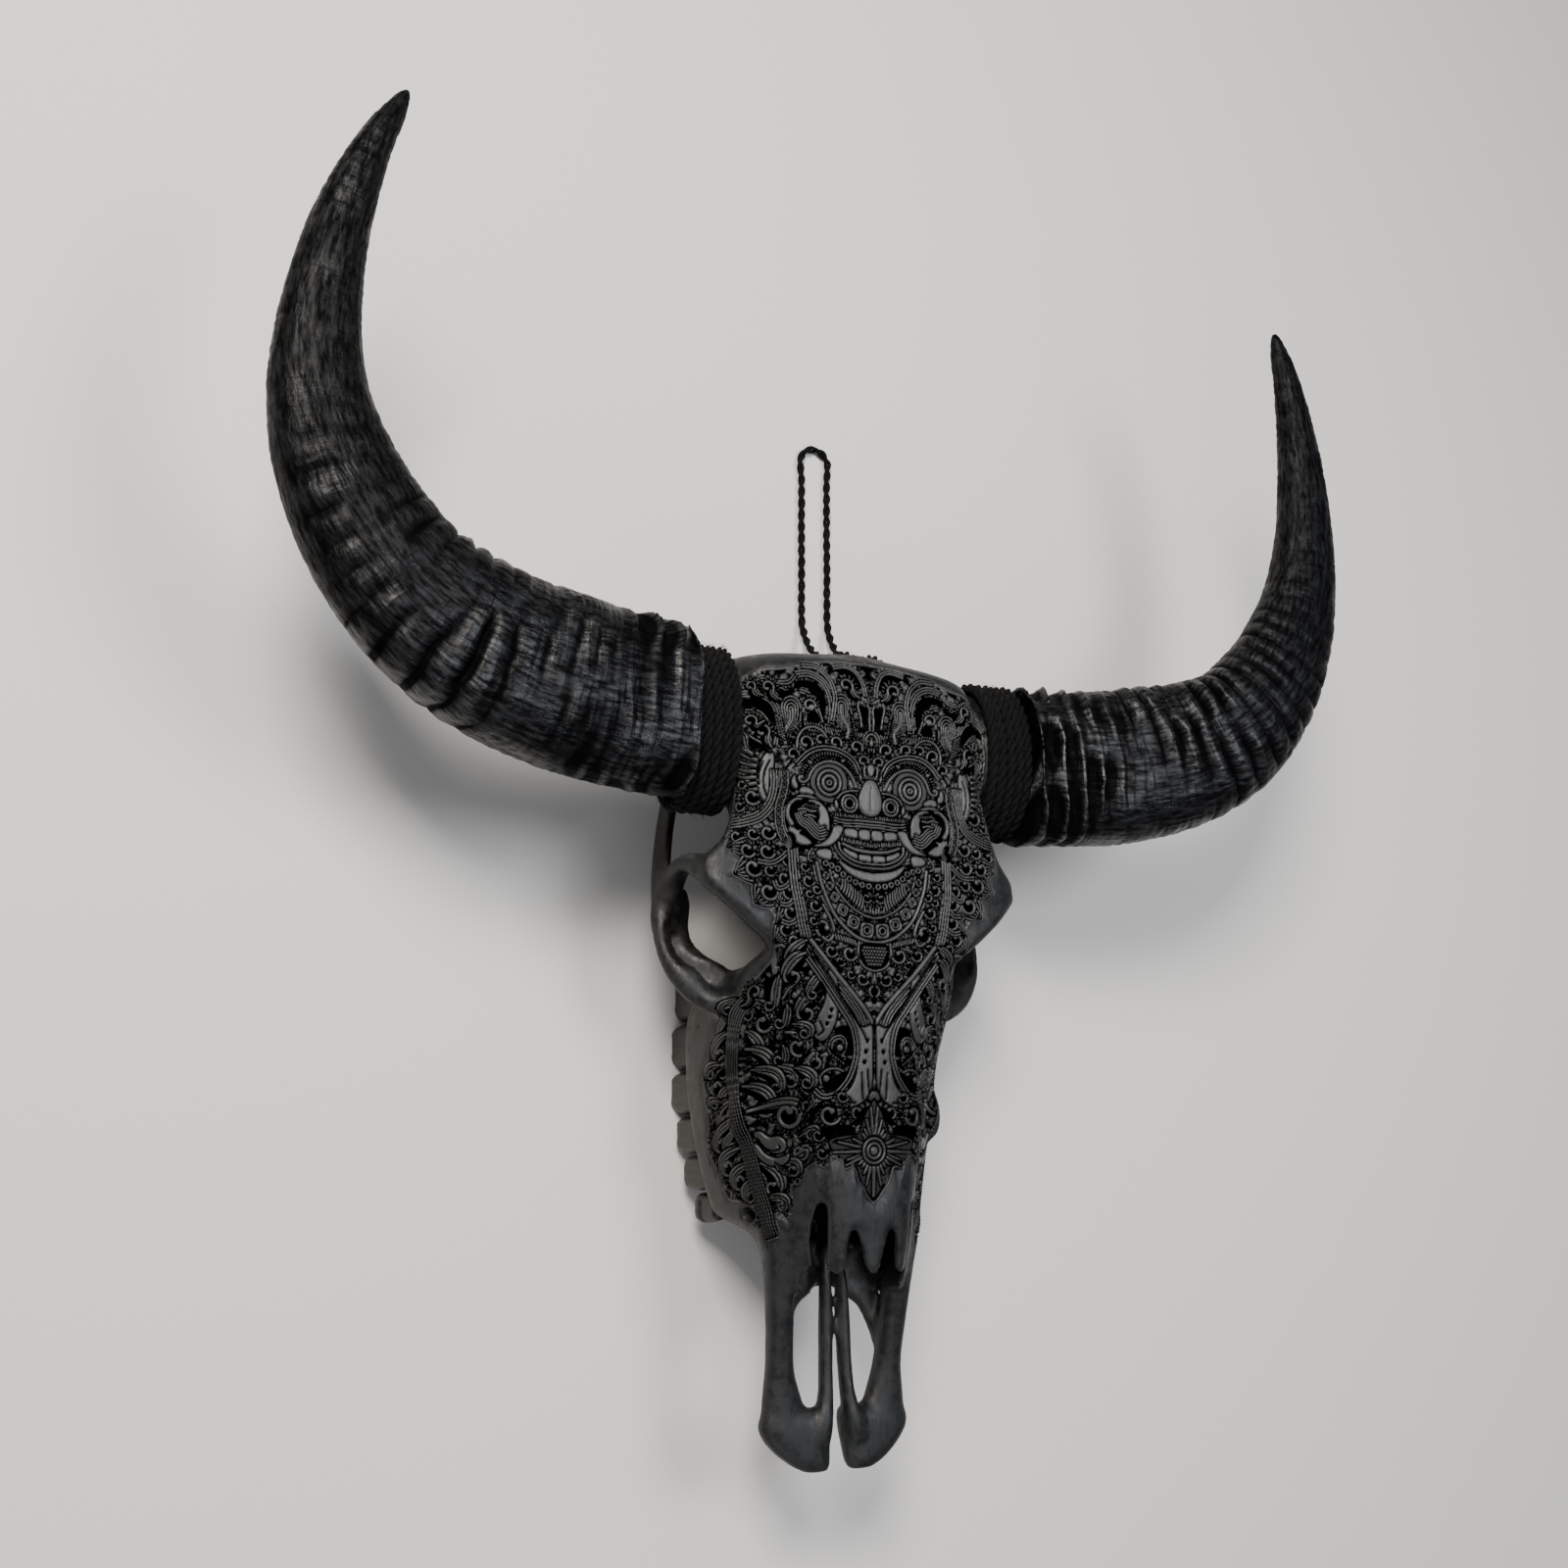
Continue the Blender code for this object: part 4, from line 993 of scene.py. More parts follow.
def draw_headdress(relief):
    """Flames, hooks and leaf scrolls above the brow."""
    # middle: bead, small leaves, arch and keyholes
    relief.ribbon(arc(0, 312, 5.0, -90, 270, 1.55, 40), 1.1)
    relief.plate(arc(0, 312.5, 2.6, 0, 330, 1.9, 12), steps=2)
    relief.hatch((-1, 321), (3.2, 319.5), (1.2, 7.5))
    relief.ribbon(arc(0, 331.5, 4.3, -20, 200, 1.25), 1.2)
    relief.ribbon(arc(0, 331.5, 6.3, -10, 190, 1.2), 1.1)
    relief.teardrop(0, 331.5, 7, 3.2, 90)
    relief.line(1.3, (7.5, 341), (8.4, 348), (10, 355), (8, 362))
    relief.hole([(2.2, 353), (5, 354.6), (8, 353.5), (7.5, 349), (5.5, 343.5), (2.8, 344.5), (4.2, 349)],
                steps=3)
    relief.line(1.3, (1.2, 339), (1.6, 346), (1.2, 353), (2.8, 357))
    relief.hatch((1, 360), (7, 365), (1.2, 7), pitch=2.2, width=1.1)
    # feather strokes over the brow
    relief.hatch((9, 330.5), (19, 331.5), (0.8, 6), pitch=2.0, width=1.2)
    relief.hatch((21, 331.5), (35, 333), (2.2, 5.5), pitch=2.1, width=1.2)
    relief.hatch((36, 334.5), (50, 334.5), (1.6, 5.2), pitch=2.1, width=1.2)
    # crown hooks, each round a black hollow with a ball
    relief.hole([(35.5, 347), (35, 357), (38.5, 364.5), (46, 367.6), (54.5, 366.5), (56.5, 362.5),
                 (50, 364), (43.5, 361), (39.5, 354), (38.5, 346)], floor=-1.3, steps=4)
    relief.lines((-3.8, -1.9, 0), 1.15, (32.5, 341), (31.4, 350), (33, 360), (38, 368), (46, 371.5),
                 (55, 370))
    relief.lines((0, 1.9), 1.1, (36.5, 341), (39.4, 349), (41.5, 355.5), (46.5, 360), (53, 361.5))
    relief.hole([(38.5, 341), (41, 347), (46, 346), (47.5, 341.5), (43, 340)], floor=-1.2, steps=3)
    relief.curl(46.5, 351, 5.0, 180, -1)
    relief.ball(44.8, 350.2, 2.2)
    relief.hole([(71.5, 338), (72.5, 345), (77, 350), (87, 352.6), (94, 351), (93, 347), (86, 348),
                 (80, 345.5), (75.5, 341)], floor=-1.3, steps=4)
    relief.lines((-3.6, -1.8, 0), 1.15, (70.5, 322), (69.8, 332), (70.4, 343), (75, 350.6), (84, 354.4),
                 (93, 354.4), (96.5, 350))
    relief.lines((0, 1.9, 3.8), 1.1, (73, 333), (76, 339), (82, 344.5), (90, 345.5))
    relief.curl(79, 331, 5.2, 200, -1, (72, 321))
    relief.curl(87.5, 338, 4.6, 200, -1, (78, 338), ribs=2.2)
    relief.curl(66, 357.6, 4.0, 0)
    relief.hole([(58, 356.6), (62, 358.2), (66.8, 360.4), (69.4, 358), (66, 354.6), (61, 355)], steps=3)
    # flames
    relief.flame(22.5, 353.5, 6.6, [(22, 346), (17.5, 339), (18.5, 332)])
    relief.flame(59.5, 347.5, 6.8, [(59.5, 340), (63.5, 332), (62.5, 324)])
    relief.flame(92, 326, 3.4, [(90, 320), (85, 316)], turns=2)
    relief.hatch((63, 327), (66, 339.5), (5.0, 3.4))
    relief.hatch((51.5, 331), (53, 340), (-0.6, 7))
    relief.hatch((12.5, 338), (14.6, 349), (2.0, 4.6))
    # top hooks
    relief.hole([(7, 368), (8, 374.6), (12.5, 379.6), (19, 380.4), (25, 378.4), (20, 376.4), (14.5, 374.6),
                 (10.5, 370)], floor=-1.1, steps=3)
    relief.lines((0, 1.9), 1.15, (3, 363), (4.6, 372), (9.5, 380.4), (17, 383.6), (27, 381.5))
    relief.curl(18.5, 368.5, 5.4, 190, -1, (8.5, 361), ribs=3.0)
    relief.lines((-1.9, 0), 1.3, (30.6, 343), (29, 352), (28.4, 361), (32, 371), (40, 377.5), (50, 378))
    relief.lines((0, 1.9), 1.15, (57, 371.5), (62, 366.5), (70, 366), (78, 369), (85, 367))
    relief.hatch((72, 358), (92, 360.5), (2.6, 4.2), pitch=2.2)
    relief.curl(76, 361, 4.6, 200, -1, (66, 353), ribs=2.6)
    relief.curl(88, 362, 3.8, 200, -1, (79, 355))
    # small scrolls along the brow
    for s, v, radius, start in (
            (11.5, 326.5, 5.2, 200), (27, 328, 4.8, 200), (38, 328.6, 4.6, 200), (48.5, 326, 5.4, 200),
            (57, 317.5, 4.6, 180), (6, 317.5, 4.4, 190)):
        relief.curl(s, v, radius, start, -1, ribs=1.8)
    relief.line(1.4, (33.5, 331), (37, 335), (43, 337.2), (50, 335), (54, 329), (54.6, 322))


def draw_side(relief):
    """Ear, fanning feathers and the scrolls down the side of the forehead."""
    relief.plate([(70, 316), (74, 318), (78, 314), (80, 306), (82, 299), (80, 291), (76, 285), (71.5, 287),
                  (72.5, 296), (70, 306)], level=0.75, dome=0.3, steps=4)
    relief.cut(1.1, (73, 312), (76, 305), (76.5, 296), (74.5, 289))
    relief.cut(0.9, (77.5, 311), (80, 303), (79.5, 296))
    for k in range(9):
        t = k / 8
        root = np.array([80.5 + 2 * sin(pi * t), 289 + 31 * t])
        aim = radians(-14 + 44 * t)
        relief.line(2.3, root, root + 9 * np.array([cos(aim), sin(aim)]),
                    root + 17 * np.array([cos(aim + 0.14), sin(aim + 0.14)]), end=1.1)
    for k in range(7):
        t = k / 6
        root = np.array([73 + 5 * t, 318 + 5 * t])
        relief.line(1.5, root, root + (7, 2.5 + t), root + (15, 6 + 4 * t), end=1.0)
    # long flowing lines under the ear
    relief.lines((-3.9, -1.95, 0, 1.95), 1.15, (68, 306), (67.6, 294), (71, 283), (79, 274.5), (90, 270.5),
                 (99, 269.5))
    relief.curl(84, 288, 6.0, 215)
    relief.curl(93, 282, 4.4, ribs=2.0)
    relief.curl(92, 297, 4.2, ribs=1.8)
    for s, v, radius, start, tip in (
            (74, 265.5, 5.6, 190, None), (84, 264, 4.6, 210, None), (95, 262, 4.6, 200, None),
            (88, 253.5, 5.6, 205, (101, 255)), (75, 253.5, 5.8, 200, None),
            (84.5, 242.6, 6.6, 200, (97, 238)), (73.5, 241.5, 4.8, 200, None),
            (75, 228, 6.8, 190, (84, 220)), (64, 237, 5.2, 190, None),
            (61.5, 248.5, 4.6, 190, None), (61.5, 228, 5.4, 200, (67.5, 220)),
            (60.5, 215.5, 5.6, 200, (70, 208)), (63.5, 204.5, 5.4, 200, (71, 195)),
            (57.5, 197.5, 5.0, 210, None), (61, 189, 4.6, 210, (67, 184))):
        relief.curl(s, v, radius, start, ribs=2.2, tip=tip)
    # the stems that these grow from
    for path in (
            ((60, 257), (64, 252), (72, 247), (81, 247.5)), ((58, 244), (62, 234), (68, 231), (70, 235)),
            ((57, 238), (58.5, 226), (62, 221), (67, 221)), ((56, 222), (57, 212), (61, 209), (66, 210))):
        relief.lines((0, 1.9), 1.15, *path)
    # the main stem, from the cheek to the groove on the middle line
    relief.lines((-3.0, -1.0, 1.0, 3.0), 1.25, (57.5, 256), (56.6, 235), (54, 220), (51, 205), (47, 195),
                 (40, 186.5), (30, 175.5), (19, 164), (10, 153), (5, 140))


# A square with rounded corners that reaches 1 to each side
SOFT_SQUARE = [(-0.9, -0.9), (0, -1), (0.9, -0.9), (1, 0), (0.9, 0.9), (0, 1), (-0.9, 0.9), (-1, 0)]


def draw_necklace(relief):
    """Collar of ringed squares under the chin, with scrolls outside it."""
    relief.hatch((1, 217.5), (7, 218.5), (0.4, 7), pitch=2.2, width=1.2)
    relief.curl(5.2, 227.6, 3.6)
    relief.hatch((9.8, 220), (24.5, 231.5), (-1.6, 8.6), pitch=2.35, width=1.3, bend=0.08)
    for s, v in (
            (3.5, 235.2), (8.6, 235.8), (13.3, 237.2), (18, 239), (22.3, 241.6), (26, 245), (30.4, 246.8),
            (34.6, 248)):
        relief.rings(s, v, (2.1, 2.7, 0.0), (1.1, 2.1, 1.0), (0, 1.1, 0.15))
    relief.line(1.3, (32, 244), (30, 237), (25.8, 229.5), (17, 221), (7, 216), (-1, 214.6), (-6, 214.6))
    relief.line(2.1, (41, 248), (39.6, 240), (36.6, 230), (29, 215), (17, 204), (6, 199.6), (-6, 198.8))
    relief.line(1.1, (43.4, 246), (42, 238), (39, 228), (31, 213))
    for s, v, size in (
            (5.7, 206.6, 9.6), (15.6, 211.4, 8.6), (23.4, 218.6, 7.4), (28.9, 226.6, 6.0),
            (32.2, 233.4, 5.2), (34.6, 240, 4.6)):
        turn = radians(36 * s / 30)
        corners = [(s + size * 0.52 * (cos(turn) * x - sin(turn) * y),
                    v + size * 0.52 * (sin(turn) * x + cos(turn) * y)) for x, y in SOFT_SQUARE]
        relief.plate(corners, steps=2, margin=0.5)
        relief.rings(s, v, (size * 0.29, size * 0.37, 0.0), (size * 0.16, size * 0.29, 1.0),
                     (0, size * 0.16, -0.5))
    relief.curl(37, 206.5, 6.8, 250, ribs=2.2)
    relief.line(1.8, (37.5, 221), (32, 212), (30, 204), (33.5, 198.5), (38, 200.5))
    for s, v, radius in (
            (43, 220.8, 4.8), (47.5, 236.4, 4.8), (49.6, 245, 3.6), (41.8, 231, 3.4), (47, 228, 3.2),
            (44.4, 211, 3.4), (41, 197.5, 3.6)):
        relief.curl(s, v, radius, ribs=1.6)


def draw_upper_muzzle(relief):
    """Scale medallion, the crossing ribbons and the scrolls between them."""
    relief.plate([(-6, 198), (0, 198), (9, 197), (10.6, 192), (9, 187), (5, 183.8), (0, 182.6),
                  (-6, 182.6)], level=0.25, steps=3)
    for row in range(6):
        for column in range(5):
            s, v = (0.2 + 2.1 * column + (1.05 if row % 2 else 0), 185 + 2.1 * row)
            if s < 8.8 - 0.12 * (v - 192) ** 2 * 0.6:
                relief.ball(s, v, 0.75)
    relief.line(1.5, (11.6, 198.5), (12, 191.5), (10, 185.5), (5, 181.8), (-4, 180.4))
    relief.hatch((13.6, 196.5), (28, 200), (1.4, 3.4), pitch=2.2, width=1.3)
    for s, v, radius, ribs in ((18.5, 191.6, 5.8, 1.8), (32, 192.4, 4.8, 1.8), (25.5, 186, 3.8, 1.8),
                               (9, 175.5, 4.8, 2.0), (0, 168.5, 5.4, 1.8), (17.5, 178, 3.4, 1.6)):
        relief.curl(s, v, radius, ribs=ribs)
    # ribbons that cross from the stems to the groove on the middle line
    relief.line(2.9, (46, 198), (38, 189), (28, 178), (18, 168), (8.5, 158), (3, 150.5), (0, 144))
    relief.plate([(47, 192), (34, 177), (24, 163.6), (16, 153), (9.4, 145), (1.6, 146), (1.3, 130),
                  (1.4, 112), (3.4, 104), (9, 97.4), (17, 94.6), (26, 95), (30.4, 99), (28.6, 103.6),
                  (22, 103.4), (16.6, 108), (13.2, 116), (12.4, 126), (12.6, 136), (16, 146.4), (25, 160),
                  (36, 174)], level=0.92, steps=4)
    for path in (
            ((44, 188), (30, 170), (18, 154), (9.6, 143.6), (6, 137)), ((3.6, 104), (4.6, 112), (5, 118)),
            ((8.4, 99.6), (9, 108), (9.4, 116)), ((13.6, 97.4), (20, 98.8), (25.4, 98), (26.4, 100))):
        relief.cut(1.0, *path)
    for s, v in ((5.4, 136.5), (6.4, 129.6), (7.4, 123)):
        relief.ball(s, v, 1.2, -0.7)
    # the ribbon beside them
    relief.lines((0, 2.2), 1.4, (49, 186), (36, 170), (26, 157), (18, 146), (15, 136), (14.8, 126),
                 (19, 114), (27, 104.6), (35, 102.4), (40, 106))
    relief.hole([(24, 180.4), (29.4, 186.4), (31, 185.2), (26, 179)], floor=-1.4, steps=2)
    relief.hole([(35.6, 168.4), (38.6, 172.6), (39.8, 171.4), (37, 167.4)], floor=-1.4, steps=2)


def draw_muzzle_side(relief):
    """Leaf scrolls on the side of the muzzle, between the ribbons and the plume's stem."""
    # broad smooth leaf with its dots
    relief.plate([(30, 184), (35, 176), (35, 165), (37, 157), (42, 147), (43, 140), (38, 135.6), (33, 137),
                  (29.6, 143), (27, 150), (26.4, 162), (27.4, 174)], level=0.9, dome=0.3, steps=4)
    relief.cut(1.0, (38.6, 148), (36, 142), (39.4, 139))
    # each scroll: its place, radius, first angle, turn and the root of its stem
    scrolls = ((47, 152.6, 6.6, 25, -1, (36, 170)), (43.6, 164.4, 3.8, 25, -1, (38, 178)),
               (57.6, 184, 4.8, 25, -1, (49, 198)), (57, 175.4, 6.2, 15, -1, (49.6, 190)),
               (66.6, 165.6, 5.6, 200, 1, (56, 170)), (75.6, 147, 7.2, 160, 1, (86, 160)),
               (64.6, 147, 4.2, 200, 1, (60, 158)), (52, 132, 7.0, 190, 1, (60, 141)),
               (40, 122.6, 6.0, 60, -1, (50, 119)), (80.6, 128, 5.2, 160, 1, (88, 142)),
               (75, 117.6, 7.2, 175, 1, (88, 131)), (64.6, 124, 4.4, 200, 1, (62, 133)),
               (57.4, 111.8, 5.4, 200, 1, (66, 120)), (67, 107.4, 4.0, 190, 1, (84, 118)),
               (46, 110, 4.4, 200, 1, (54, 119)), (75.4, 94.6, 7.0, 175, 1, (90, 108)),
               (59.6, 90.4, 9.2, 200, 1, (86, 92)), (46, 96, 4.4, 200, 1, (48, 104)),
               (31, 88.4, 6.8, 30, -1, (42, 82)), (39.6, 101.6, 4.2, 200, 1, (46, 92)),
               (51.4, 67.2, 6.0, 200, 1, (62, 60)), (43.6, 78.6, 4.4, 190, 1, (52, 76)),
               (56.4, 56, 4.4, 190, 1, (66, 60)), (69.4, 45.4, 6.4, 180, 1, (78.6, 60)),
               (87, 152, 4.0, 160, 1, (92, 160)), (48, 140.6, 3.8, 200, 1, (56, 146)),
               (72, 158, 4.2, 180, 1, (66, 176)), (64, 34, 3.6, 180, 1, (74, 38)))
    for s, v, radius, start, turn, stem in scrolls:
        relief.curl(s, v, radius, start, turn, stem, deep=-1.0 if radius > 6.5 else -0.6)
    # black hollows with the balls that hook into them
    relief.hole([(13.6, 143.6), (24, 144.4), (27.6, 141.6), (22, 140.4), (18.4, 136), (18.2, 131),
                 (21, 127.4), (15.6, 128.4), (13.2, 134)], floor=-1.3, steps=4)
    relief.hole([(14.6, 119), (16.4, 112), (22, 106.8), (29.6, 105.6), (36, 109.4), (31, 110.6),
                 (27, 113.6), (21.4, 115.4)], floor=-1.3, steps=4)
    relief.lines((0, 1.9), 1.2, (20.4, 131), (20.6, 136), (24, 139), (29.4, 137.6), (32, 132.6),
                 (30.6, 126.6))
    relief.hatch((22, 121.6), (30.6, 127.4), (2.4, 4.2))
    relief.rings(24.6, 131.6, (2.3, 3.0, -0.3), (0, 2.3, 1.0))
    relief.rings(33.4, 112.4, (2.3, 3.0, -0.3), (0, 2.3, 1.0))
    relief.line(1.5, (22, 117), (27, 118.6), (33, 117.6), (37.4, 113.4), (36.6, 109))
    # smooth lobes low on the plume
    relief.plate([(83, 78), (76, 70), (70, 66.4), (64, 66.4), (60.8, 69.6), (61.6, 74.4), (66, 77),
                  (72, 76.4), (78, 80)], level=0.92, dome=0.3, steps=4)
    relief.cut(1.0, (80, 75.6), (75, 69.6), (69, 67.8), (64.8, 69.4), (66, 71.4))
    relief.plate([(86, 73), (80, 64), (73, 59), (65, 58.2), (59.4, 61.8), (58.8, 66.4), (62, 64.8),
                  (68, 63.6), (75, 66.4), (80, 71.6)], level=0.92, dome=0.3, steps=4)
    relief.hatch((39, 63.8), (46, 60), (-3.2, 6.4), pitch=2.0)
    relief.hatch((58.6, 52), (66, 55.6), (2.2, 4.4), pitch=2.0)
    for s, v in ((89.4, 87), (86.6, 82.4), (83.6, 77.6), (31, 155), (32, 150.6), (33.6, 146.4)):
        relief.rings(s, v, (0.9, 1.0, 0.4), (0, 1.15, -0.6))


def draw_plume(relief):
    """The tall plume on the cheek side of the muzzle, and the leaves outside it."""
    for s, v, radius, start, stem in (
            (109, 141, 5.0, 340, (101, 152)), (113, 128.6, 6.4, 340, (102, 142)),
            (108.6, 117, 4.4, 340, (102, 128)), (115.6, 107.6, 7.4, 335, (102, 124)),
            (108, 96.4, 5.2, 335, (101, 108)), (113.6, 86.4, 6.6, 330, (99, 100)),
            (103.4, 83.6, 4.6, 330, (96.6, 94)), (114, 72, 6.6, 325, (98, 88)),
            (103.4, 69.6, 5.8, 325, (92.6, 82)), (94.6, 61.6, 4.6, 320, (88, 72)),
            (108, 57.4, 6.4, 320, (92, 70)), (97, 48.6, 6.2, 320, (84.6, 60)),
            (88, 39.6, 4.6, 320, (81, 50)), (102, 156, 3.8, 340, (95, 162)),
            (122.6, 117, 4.2, 330, (112, 122)), (122, 97.6, 4.0, 330, (113, 98)),
            (82.6, 27.6, 3.4, 320, (78, 36))):
        relief.curl(s, v, radius, start, -1, stem, ribs=2.8, deep=-1.0 if radius > 6.5 else -0.6)
    # the plume's own stem
    relief.lines((-5.0, -3.0, -1.0, 1.0, 3.0, 5.0), 1.35, (82.6, 164), (87, 161), (93.6, 156),
                 (98, 146), (100, 130), (99.6, 112), (95.6, 92), (88.6, 70), (82.6, 50), (77.6, 34),
                 (72, 15), end=0.9)
    relief.curl(82.4, 166, 5.4, 330, 1, (92, 158), ribs=2.6)


def draw_flower(relief):
    """Four-petalled flower above the tips of the nose bones."""
    for s, v, radius in (
            (31, 90.6, 7.6), (12, 92, 5.4), (38.4, 77.6, 4.4), (36, 66.6, 4.2), (22.6, 101.6, 4.4)):
        relief.curl(s, v, radius, ribs=2.2)
    relief.hole([(6, 95), (12.6, 88), (16, 85), (12, 84.6), (8, 87)], floor=-1.2, steps=3)
    relief.hole([(14, 81), (22, 83.4), (34, 82), (37, 78.6), (26, 78), (18, 78)], floor=-1.2, steps=3)
    petal = smooth((0, 100), (5.6, 92), (9.6, 82), (12, 78), (20, 77.6), (30.6, 75), (31, 71), (27, 66.4),
                   (20, 61), (13, 58.6), (9.6, 50), (6, 45), (0, 38), (-6, 42), (-6, 95), steps=4)
    relief.plate(petal, level=0.55, steps=0)
    # ribs that run out from the middle, each with its angle and its length
    middle = np.array([0, 68])
    turns = [*(96 - 11.2 * k for k in range(5)), *(26 - 14 * k for k in range(4)),
             *(-24 - 13 * k for k in range(6))]
    for turn, reach in zip(turns, (31, 27, 20, 15, 13.6, 17, 27, 29, 20, 22, 14, 13, 16, 22, 28)):
        out = np.array([cos(radians(turn)), sin(radians(turn))])
        relief.ribbon([middle + 10 * out, middle + reach * out], 2.2, 1.2)
    relief.cut(0.8, (11.6, 76.6), (20, 75.4), (29, 73))
    relief.rings(0, 68, (8.6, 9.6, 0.0), (6.6, 8.6, 1.0), (5.6, 6.6, 0.0), (3.6, 5.6, 0.9),
                 (2.8, 3.6, 0.0), (0, 2.8, 1.0))
    relief.groove([(0, 38), (0, 10)], 0.9, floor=0.0)


def drawing():
    """The whole carved drawing, and how far each of its points lies outside the carved area."""
    relief = Relief()
    for part in (draw_side, draw_headdress, draw_eye, draw_cheek, draw_nose_and_mouth, draw_necklace,
                 draw_muzzle_side, draw_plume, draw_upper_muzzle, draw_flower):
        part(relief)
    relief.groove([(0, 178), (0, 102)], 1.6, floor=-0.4)
    return relief, relief.finish(REGION)


# The carved area on one side of the middle line, as (distance from it, Y)
REGION = [
    (-6, 386), (0, 386), (30, 384), (52, 378), (66, 374), (80, 372), (94, 362), (96, 340), (98, 315),
    (98, 290), (99, 268), (97, 256), (88, 246), (86, 235), (80, 222), (72, 214), (70, 205), (70, 188),
    (80, 176), (90, 170), (100, 155), (108, 148), (116, 142), (124, 128), (130, 110), (130, 73),
    (120, 56), (110, 38), (96, 36), (84, 26), (72, 14), (68, 34), (60, 36), (58, 48), (52, 52),
    (48, 60), (40, 63), (30, 66), (22, 62), (10, 57), (6, 48), (0, 38), (-6, 38),
]

# Each carved piece with the heights that it lies between
CARVED_PARTS = [("carved_muzzle", 12.0, 170.0), ("carved_face", 170.0, 285.0),
                ("carved_headdress", 285.0, 390.0)]


# Skull

# The bone's front is unrolled round a line this far under the face plane
AXIS_DROP = 62.0

# Below this Y the slits beside the nose bones break the section
SLIT_TOP = 44.0

# How far the bone lies below the carved skin, and how far off the front it may be to count as there
SINK = 4.6
SKIN_REACH = 3.2


def fan_of(made, rows, angles):
    """How far the bone reaches from the unrolling line, at each row and angle."""
    tree = BVHTree.FromPolygons([Vector(p) for p in positions(made.data)],
                                [tuple(face.vertices) for face in made.data.polygons])
    reach = np.zeros((len(rows), len(angles)))
    for i, y in enumerate(rows):
        for j, angle in enumerate(angles):
            out = Vector((sin(angle), 0, cos(angle)))
            start = Vector((0, y, -AXIS_DROP))
            hit = tree.ray_cast(start + out * 160, -out)[0]
            reach[i, j] = (hit - start).length if hit else 10
    return reach


def blurred(values, radius, axis):
    """Values softened along one axis, by the same amount at every place."""
    offsets = np.arange(-3 * radius, 3 * radius + 1)
    weights = np.exp(-0.5 * (offsets / radius) ** 2)
    pads = [(3 * radius, 3 * radius) if k == axis else (0, 0) for k in range(values.ndim)]
    padded = np.pad(values, pads, mode="edge")
    total = sum(w * np.take(padded, np.arange(values.shape[axis]) + k, axis=axis)
                for k, w in enumerate(weights))
    return total / weights.sum()


class Unrolled:
    """The front of the bone laid flat: a place on it for each distance along the bone and each Y."""

    def __init__(self, made):
        self.rows = np.arange(V_LOW, V_HIGH, 1.0)
        self.angles = np.radians(np.arange(-116, 116.25, 0.5))
        self.reach = blurred(blurred(fan_of(made, self.rows, self.angles), 1, 0), 1, 1)
        across = np.sin(self.angles) * self.reach
        up = np.cos(self.angles) * self.reach
        step = np.hypot(np.diff(across, axis=1), np.diff(up, axis=1))
        along = np.concatenate([np.zeros((len(self.rows), 1)), np.cumsum(step, axis=1)], axis=1)
        along -= along[:, len(self.angles) // 2][:, None]
        clear = int(SLIT_TOP - V_LOW)
        along[:clear] = along[clear]
        self.along = blurred(along, 3, 0)

    def drawing_place(self, points):
        """Where points near the bone fall on the drawing, and how far off the bone's front they are."""
        across, y, up = points[:, 0], points[:, 1], points[:, 2] + AXIS_DROP
        column = (np.arctan2(across, up) - self.angles[0]) / (self.angles[1] - self.angles[0])
        inside = (column >= 0) & (column < len(self.angles) - 1.001) & (y > V_LOW)
        off = np.abs(np.hypot(across, up) - between(self.reach, y - V_LOW, column))
        along = between(self.along, y - V_LOW, column)
        return np.abs(along - middle_line(y)), y, np.where(inside, off, FAR)

    def grid(self, rows, columns):
        """Points on the bone at each Y of rows and each distance of columns, with their normals."""
        fine = np.clip(rows - V_LOW, 0, len(self.rows) - 1.001)
        i = fine.astype(int)
        t = (fine - i)[:, None]
        along = self.along[i] * (1 - t) + self.along[i + 1] * t
        reach = self.reach[i] * (1 - t) + self.reach[i + 1] * t
        points = np.zeros((len(rows), len(columns), 3))
        for k, y in enumerate(rows):
            angle = np.interp(columns + middle_line(y), along[k], self.angles)
            far = np.interp(angle, self.angles, reach[k])
            points[k, :, 0] = np.sin(angle) * far
            points[k, :, 1] = y
            points[k, :, 2] = np.cos(angle) * far - AXIS_DROP
        return points, unit(np.cross(np.gradient(points, axis=1), np.gradient(points, axis=0)))


def middle_line(y):
    """The middle line of the carving wanders a little off the middle of the bone."""
    return -2.8 * np.exp(-((y - 285) / 45) ** 2) - 0.5


def look_up(grid, relief, s, v):
    """Reads a drawing's grid at places between its points."""
    return between(grid, (v - relief.v[0]) / PIXEL, (s - relief.s[0]) / PIXEL)


def sink_under_carving(mesh, flat, relief, edge):
    """Lowers the bone under the carved skin, so that only the skin shows there."""
    points, normals = positions(mesh), read_points(mesh, "normal")
    s, v, off = flat.drawing_place(points)
    inner = look_up(edge, relief, s, v)
    angle = np.arctan2(points[:, 0], points[:, 2] + AXIS_DROP)
    facing = np.sin(angle) * normals[:, 0] + np.cos(angle) * normals[:, 2]
    push = SINK * np.clip((1.0 - inner) / 2.5, 0, 1)
    push *= np.clip((SKIN_REACH - off) / 1.2, 0, 1) * (facing > 0.15) * (v > V_LOW + 2)
    move_points(mesh, points - normals * push[:, None])


